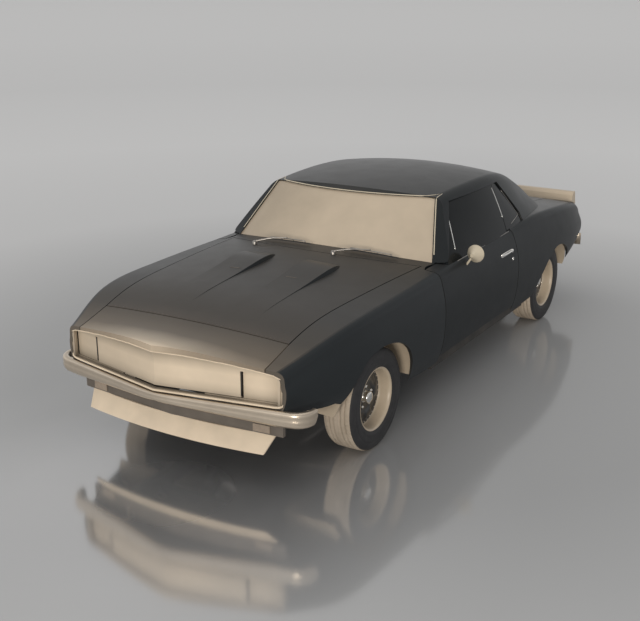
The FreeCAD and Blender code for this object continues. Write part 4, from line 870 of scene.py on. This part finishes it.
lever = tube(curve_through([(0, -0.06, 0.3), (0.002, -0.04, 0.42), (0.01, 0.0, 0.55)], 6), [0.008] * 7 + [0.006] * 6)
knob = turned_part([(-0.012, 0.0002), (-0.008, 0.012), (0.006, 0.02), (0.02, 0.018), (0.03, 0.008), (0.032, 0.0002)],
                   (0.012, 0.008, 0.56), 24, (0.2, 0.3, 1))
piece("gear_lever", [lever, knob], chrome)
boot = turned_part([(0.0, 0.07), (0.012, 0.062), (0.02, 0.045), (0.045, 0.028), (0.06, 0.014), (0.062, 0.009)],
                   (0, -0.06, 0.335), 28, (0, 0.1, 1))
pedals = [soft_box((x, -0.585, z), (w, 0.014, h), 3, Matrix.Rotation(radians(-28), 3, "X"))
          for x, z, w, h in ((0.25, 0.4, 0.055, 0.06), (0.35, 0.4, 0.08, 0.055), (0.45, 0.37, 0.045, 0.13))]
pedals += [tube([(x, -0.592, z), (x, -0.6, 0.6)], 0.006, 8) for x, z in ((0.25, 0.41), (0.35, 0.41), (0.45, 0.4))]
piece("pedals", [boot] + pedals, trim_black)

# Inside of the doors
for side_name, side in SIDES:
    inner = cast(surface_of("door_" + side_name), (side * 0.3, 0.05, 0.62), (side, 0, 0))[0].x
    rest = [soft_box((inner - side * 0.022, 0.06, 0.6), (0.046, 0.32, 0.052)),
            soft_box((inner - side * 0.003, 0.0, 0.52), (0.008, 0.9, 0.012))]
    piece("arm_rest_" + side_name, rest, vinyl, side_name + "_door")
    winder = [turned_part([(-0.003, 0.026), (0.006, 0.024), (0.012, 0.012), (0.014, 0.0002)],
                          (inner - side * 0.001, -0.2, 0.655), 24, (-side, 0, 0)),
              tube([(inner - side * 0.012, -0.2, 0.655), (inner - side * 0.018, -0.12, 0.675)], 0.006, 8),
              turned_part([(0.0, 0.01), (0.018, 0.012), (0.026, 0.009), (0.028, 0.0002)],
                          (inner - side * 0.016, -0.12, 0.675), 16, (-side, 0, 0)),
              tube([(inner - side * 0.004, 0.28, 0.7), (inner - side * 0.02, 0.3, 0.7),
                    (inner - side * 0.02, 0.36, 0.7)], 0.006, 8)]
    piece("door_winder_" + side_name, winder, chrome, side_name + "_door")


# Engine: vee of two banks with covers, round air cleaner, headers, pulleys and fan
crank_z = 0.405
engine_y = -1.4
filter_y = -1.42


def bank_turn(side):
    return Matrix.Rotation(radians(side * 42), 3, "Y")


def on_bank(side, across, along, up):
    """A place on a cylinder bank: across its cover, along the car, up its axis from the crankshaft."""
    return bank_turn(side) @ Vector((across, 0, up)) + Vector((0, along, crank_z))


block = [soft_box((0, -1.4, 0.42), (0.3, 0.56, 0.2)), soft_box((0, -1.38, 0.305), (0.24, 0.5, 0.066)),
         soft_box((0, -1.07, 0.43), (0.34, 0.06, 0.26)), soft_box((0, -1.4, 0.59), (0.21, 0.44, 0.11))]
covers = []
leads = []
for side in (1, -1):
    block.append(soft_box(on_bank(side, 0, engine_y, 0.15), (0.15, 0.5, 0.13), turned=bank_turn(side)))
    covers.append(soft_box(on_bank(side, 0, engine_y, 0.238), (0.125, 0.51, 0.062), turned=bank_turn(side)))
    for k in range(6):
        covers.append(soft_box(on_bank(side, 0, -1.59 + 0.076 * k, 0.268), (0.096, 0.01, 0.01),
                               turned=bank_turn(side)))
    leads += [(side, -1.6 + 0.13 * k) for k in range(4)]
whole_block = piece("engine_block", block, iron)
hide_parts("engine")
piece("engine_covers", covers, chrome)

headers = []
wires = []
cap_place = Vector((0, -1.15, 0.64))
for side, y in leads:
    headers.append(tube(curve_through([(side * 0.215, y, 0.44), (side * 0.255, y, 0.425),
                                       (side * 0.262, (y - 1.2) / 2, 0.37), (side * 0.24, -1.19, 0.3)], 6),
                        0.019, 10))
    wires.append(tube(curve_through([cap_place + Vector((side * 0.02, 0.0, 0.03)), (side * 0.1, y * 0.4 - 0.72, 0.69),
                                     (side * 0.17, y + 0.02, 0.665), (side * 0.232, y, 0.56)], 6), 0.004, 6))
for side in (1, -1):
    headers.append(tube(curve_through([(side * 0.24, -1.24, 0.3), (side * 0.225, -1.18, 0.285)], 4), 0.026, 12))
piece("engine_headers", headers, steel)
piece("engine_leads", wires, rubber)
cleaner = [turned_part([(0.0, 0.0002), (0.0, 0.165), (0.006, 0.172), (0.014, 0.172), (0.018, 0.166)],
                       (0, filter_y, 0.688), 64, (0, 0, 1)),
           turned_part([(0.0, 0.166), (0.006, 0.174), (0.012, 0.172), (0.018, 0.12), (0.022, 0.03), (0.022, 0.014),
                        (0.034, 0.012), (0.036, 0.0002)], (0, filter_y, 0.746), 64, (0, 0, 1)),
           turned_part([(0.0, 0.055), (0.05, 0.06), (0.052, 0.0002)], (0, filter_y, 0.64), 24, (0, 0, 1))]
piece("air_cleaner", cleaner, chrome)
pleats = []
for k, turn in enumerate(turns(72)):
    reach = 0.158 if k % 2 else 0.15
    pleats.append((reach * cos(turn), reach * sin(turn)))
ring = [Vector((x, y + filter_y, z)) for z in (0.704, 0.747) for x, y in pleats]
ring_faces = [(k, (k + 1) % 72, 72 + (k + 1) % 72, 72 + k) for k in range(72)]
piece("air_filter", [(ring, ring_faces)], cream)
front_end = [turned_part([(0.0, 0.0002), (0.0, 0.085), (0.01, 0.088), (0.018, 0.08), (0.03, 0.088), (0.04, 0.085),
                          (0.042, 0.0002)], (0, -1.725, 0.405), 40),
             turned_part([(0.0, 0.0002), (0.0, 0.06), (0.008, 0.064), (0.016, 0.056), (0.026, 0.064), (0.03, 0.0002)],
                         (0, -1.722, 0.56), 36),
             turned_part([(0.0, 0.0002), (0.0, 0.04), (0.008, 0.044), (0.016, 0.036), (0.026, 0.044), (0.12, 0.06),
                          (0.128, 0.0002)], (0.18, -1.722, 0.585), 30),
             turned_part([(-0.02, 0.045), (0.02, 0.045), (0.04, 0.036), (0.05, 0.0002)], cap_place, 24, (0, 0, 1))]
for turn in turns(6):
    spin = Matrix.Rotation(turn, 3, "Y") @ Matrix.Rotation(radians(24), 3, "Z")
    front_end.append(soft_box((0.115 * cos(turn), -1.745, 0.56 - 0.115 * sin(turn)), (0.15, 0.004, 0.055), 3, spin))
piece("engine_front_end", front_end, steel)
belt = [Vector((0.086 * sin(t), -1.706, 0.405 - 0.086 * cos(t))) for t in [-1.4 + 2.8 * k / 12 for k in range(13)]]
belt += [Vector((0.18 + 0.044 * cos(t), -1.706, 0.585 + 0.044 * sin(t)))
         for t in [-0.3 + 1.6 * k / 6 for k in range(7)]]
belt += [Vector((0.064 * cos(t), -1.706, 0.56 + 0.064 * sin(t))) for t in [1.5 + 1.5 * k / 6 for k in range(7)]]
piece("engine_belt", [tube(belt + belt[:2], 0.007, 8, False)], rubber)

# Radiator tanks, fins and hoses; brake booster on the firewall
cooler = [soft_box((0, -1.9, 0.752), (0.64, 0.055, 0.034)), soft_box((0, -1.9, 0.416), (0.64, 0.055, 0.034))]
for k in range(32):
    cooler.append(soft_box((-0.31 + 0.02 * k, -1.8685, 0.585), (0.006, 0.005, 0.3), 2))
piece("radiator_tanks", cooler, trim_black)
hoses = [tube(curve_through([(-0.18, -1.88, 0.735), (-0.18, -1.83, 0.73), (-0.11, -1.76, 0.69),
                             (-0.05, -1.64, 0.655)], 8), 0.019, 12),
         tube(curve_through([(0.23, -1.88, 0.43), (0.23, -1.835, 0.425), (0.15, -1.775, 0.44),
                             (0.08, -1.7, 0.48)], 8), 0.021, 12)]
piece("coolant_hoses", hoses, rubber)
brake = [turned_part([(0.0, 0.0002), (0.0, 0.09), (0.02, 0.112), (0.05, 0.112), (0.09, 0.08), (0.1, 0.03)],
                     (0.43, -0.86, 0.64), 40, (0, -1, 0)),
         soft_box((0.43, -1.0, 0.65), (0.06, 0.13, 0.08)),
         soft_box((0.43, -1.0, 0.7), (0.075, 0.12, 0.03))]
piece("brake_booster", brake, steel)

# Headlamps behind the sliding doors
lamp_rings = []
lamp_lenses = []
for side in (1, -1):
    centre = (side * 0.605, -2.166, 0.611)
    lamp_rings.append(turned_part([(0.004, 0.087), (-0.004, 0.087), (-0.006, 0.084), (-0.005, 0.08), (0.0, 0.077)],
                                  centre, 56))
    lamp_lenses.append(turned_part([(0.002, 0.079), (-0.001, 0.07), (-0.004, 0.05), (-0.006, 0.025),
                                    (-0.0065, 0.0002)], centre, 56))
piece("headlamp_rings", lamp_rings, chrome)
piece("headlamp_lenses", lamp_lenses, clear_lens)

# Tail: lamp frames and ribs, bare filler cap, exhaust tips
lens_trees = surface_of("tail_lamps")
tail_trim = []
for side in (1, -1):
    corners = [(side * 0.324, 3, 0.614), (side * 0.714, 3, 0.614), (side * 0.714, 3, 0.696), (side * 0.324, 3, 0.696),
               (side * 0.324, 3, 0.614)]
    tail_trim.append(dropped_line(lens_trees, corners, (0, -1, 0), 14))
    tail_trim.append(dropped_line(lens_trees, [(side * 0.519, 3, 0.614), (side * 0.519, 3, 0.696)], (0, -1, 0), 8))
add_trim("tail_lamp_frames", tail_trim, "body", 0.009, 0.004)


def upright_ribs(first_x):
    """Eleven upright lines on each tail lamp."""
    places = [side * (first_x + 0.0168 * k) for side in (1, -1) for k in range(11)]
    return [dropped_line(lens_trees, [(x, 3, 0.622), (x, 3, 0.688)], (0, -1, 0), 6) for x in places]


add_trim("tail_lamp_ribs", upright_ribs(0.334), "body", 0.009, 0.0025, red_lens)
add_trim("reverse_lamp_ribs", upright_ribs(0.53), "body", 0.013, 0.0025, clear_lens)
tail_spot = cast(surface_of("rear_body"), (0, 3, 0.655), (0, -1, 0))[0]
cap_part = turned_part([(-0.004, 0.046), (0.006, 0.046), (0.01, 0.042), (0.012, 0.032), (0.009, 0.029),
                        (0.009, 0.006), (0.009, 0.0002)], tail_spot, 48)
piece("filler_cap", [cap_part], chrome)
tips = []
bores = []
for side in (1, -1):
    tips.append(turned_part([(0.0, 0.0265), (0.0, 0.029), (0.12, 0.0305), (0.122, 0.028), (0.1, 0.0262)],
                            (side * 0.21, 2.078, 0.19), 32))
    bores.append(turned_part([(0.001, 0.024), (0.0, 0.0002)], (side * 0.21, 2.1995, 0.19), 24))
piece("exhaust_tips", tips, chrome)
piece("exhaust_bores", bores, rubber)

# Hood: short bars ahead of the bulges, and a fine thread of small lighter bits along the front seam, painted glints
# on its edge
hood_trees = surface_of("hood")
dashes = []
for x in (0.205, -0.205):
    dashes.append(dropped_line(hood_trees, [(x - 0.035, -1.325, 2), (x + 0.035, -1.318, 2)], (0, 0, -1), 4))
add_trim("hood_dashes", dashes, "hood", 0.006, 0.0015, valance_paint)
# Painted highlights: small lighter bits that stand for the glints along the hood's front seam
thread = []
for k in range(42):
    x = 1.2 * k / 41 - 0.6
    thread.append(dropped_line(hood_trees, [(x - 0.007, -1.99, 2), (x + 0.007, -1.99, 2)], (0, 0, -1), 2))
add_trim("hood_seam_glints", thread, "hood", 0.0022, 0.0012, valance_paint)

# Floor, light and camera
def round_falloff(tree, where, reach_x, reach_y, centre=(0, 0)):
    """One at the centre, falling to zero at an ellipse."""
    scaled = add_node(tree, "Mapping", {"Vector": where, "Scale": (1 / reach_x, 1 / reach_y, 1 / reach_y),
                                        "Location": (-centre[0] / reach_x, -centre[1] / reach_y, 0)})
    gradient = add_node(tree, "TexGradient", {"Vector": scaled.outputs["Vector"]})
    gradient.gradient_type = "SPHERICAL"
    return gradient.outputs["Fac"]


def build_floor():
    bpy.ops.mesh.primitive_plane_add(size=600, location=(0, 0, 0))
    floor = bpy.context.object
    floor.name = "studio_floor"
    made, tree, shader = new_tree("floor_grey")
    tree.nodes.remove(shader)
    where = coordinates(tree, "Object")
    # The floor's tone holds painted shade round the car
    tone = ramp_node(tree, round_falloff(tree, where, 40, 40), floor_tones_and_shade)
    sheen = ramp_node(tree, round_falloff(tree, where, 1.9, 2.2, (0.15, -2.55)), floor_sheen)
    diffuse = add_node(tree, "BsdfDiffuse", {"Color": tone})
    gloss = add_node(tree, "BsdfGlossy", {"Color": (0.86, 0.86, 0.86, 1), "Roughness": 0.1})
    mix = add_node(tree, "MixShader", {"Fac": sheen, 1: diffuse.outputs["BSDF"], 2: gloss.outputs["BSDF"]})
    fill_inputs(tree, tree.nodes["Material Output"], {"Surface": mix.outputs["Shader"]})
    floor.data.materials.append(made)


def build_world():
    world = bpy.data.worlds.new("studio")
    bpy.context.scene.world = world
    world.use_nodes = True
    tree = world.node_tree
    way = axes_of(tree, coordinates(tree, "Generated"))
    height = ramp_node(tree, way["Z"], sky_heights)
    side = ramp_node(tree, way["X"], sky_sides)
    fill_inputs(tree, tree.nodes["Background"], {"Color": mixed(tree, 1.0, height, side, "MULTIPLY"),
                                                 "Strength": 1.0})


def add_sun(name, way, strength, colour, angle):
    data = bpy.data.lights.new(name, "SUN")
    data.energy = strength
    data.color = colour
    data.angle = radians(angle)
    lamp = bpy.data.objects.new(name, data)
    lamp.rotation_euler = Vector(way).to_track_quat("-Z", "Y").to_euler()
    bpy.context.scene.collection.objects.link(lamp)


def build_camera():
    data = bpy.data.cameras.new("photo_camera")
    data.lens = camera_lens
    data.sensor_width = 36
    data.sensor_fit = "HORIZONTAL"
    data.clip_end = 2000
    camera = bpy.data.objects.new("photo_camera", data)
    yaw = radians(camera_yaw)
    turned = Matrix.Rotation(yaw, 4, "Z") @ Matrix.Rotation(radians(90 + camera_pitch), 4, "X")
    turned = turned @ Matrix.Rotation(radians(camera_roll), 4, "Z")
    camera.matrix_world = Matrix.Translation(camera_place) @ turned
    bpy.context.scene.collection.objects.link(camera)
    bpy.context.scene.camera = camera


build_floor()
build_world()
add_sun("front_light", (-0.34, 1.0, -0.03), 2.4, (1.0, 0.93, 0.84), 22)
build_camera()
bpy.context.scene.view_settings.view_transform = "Standard"
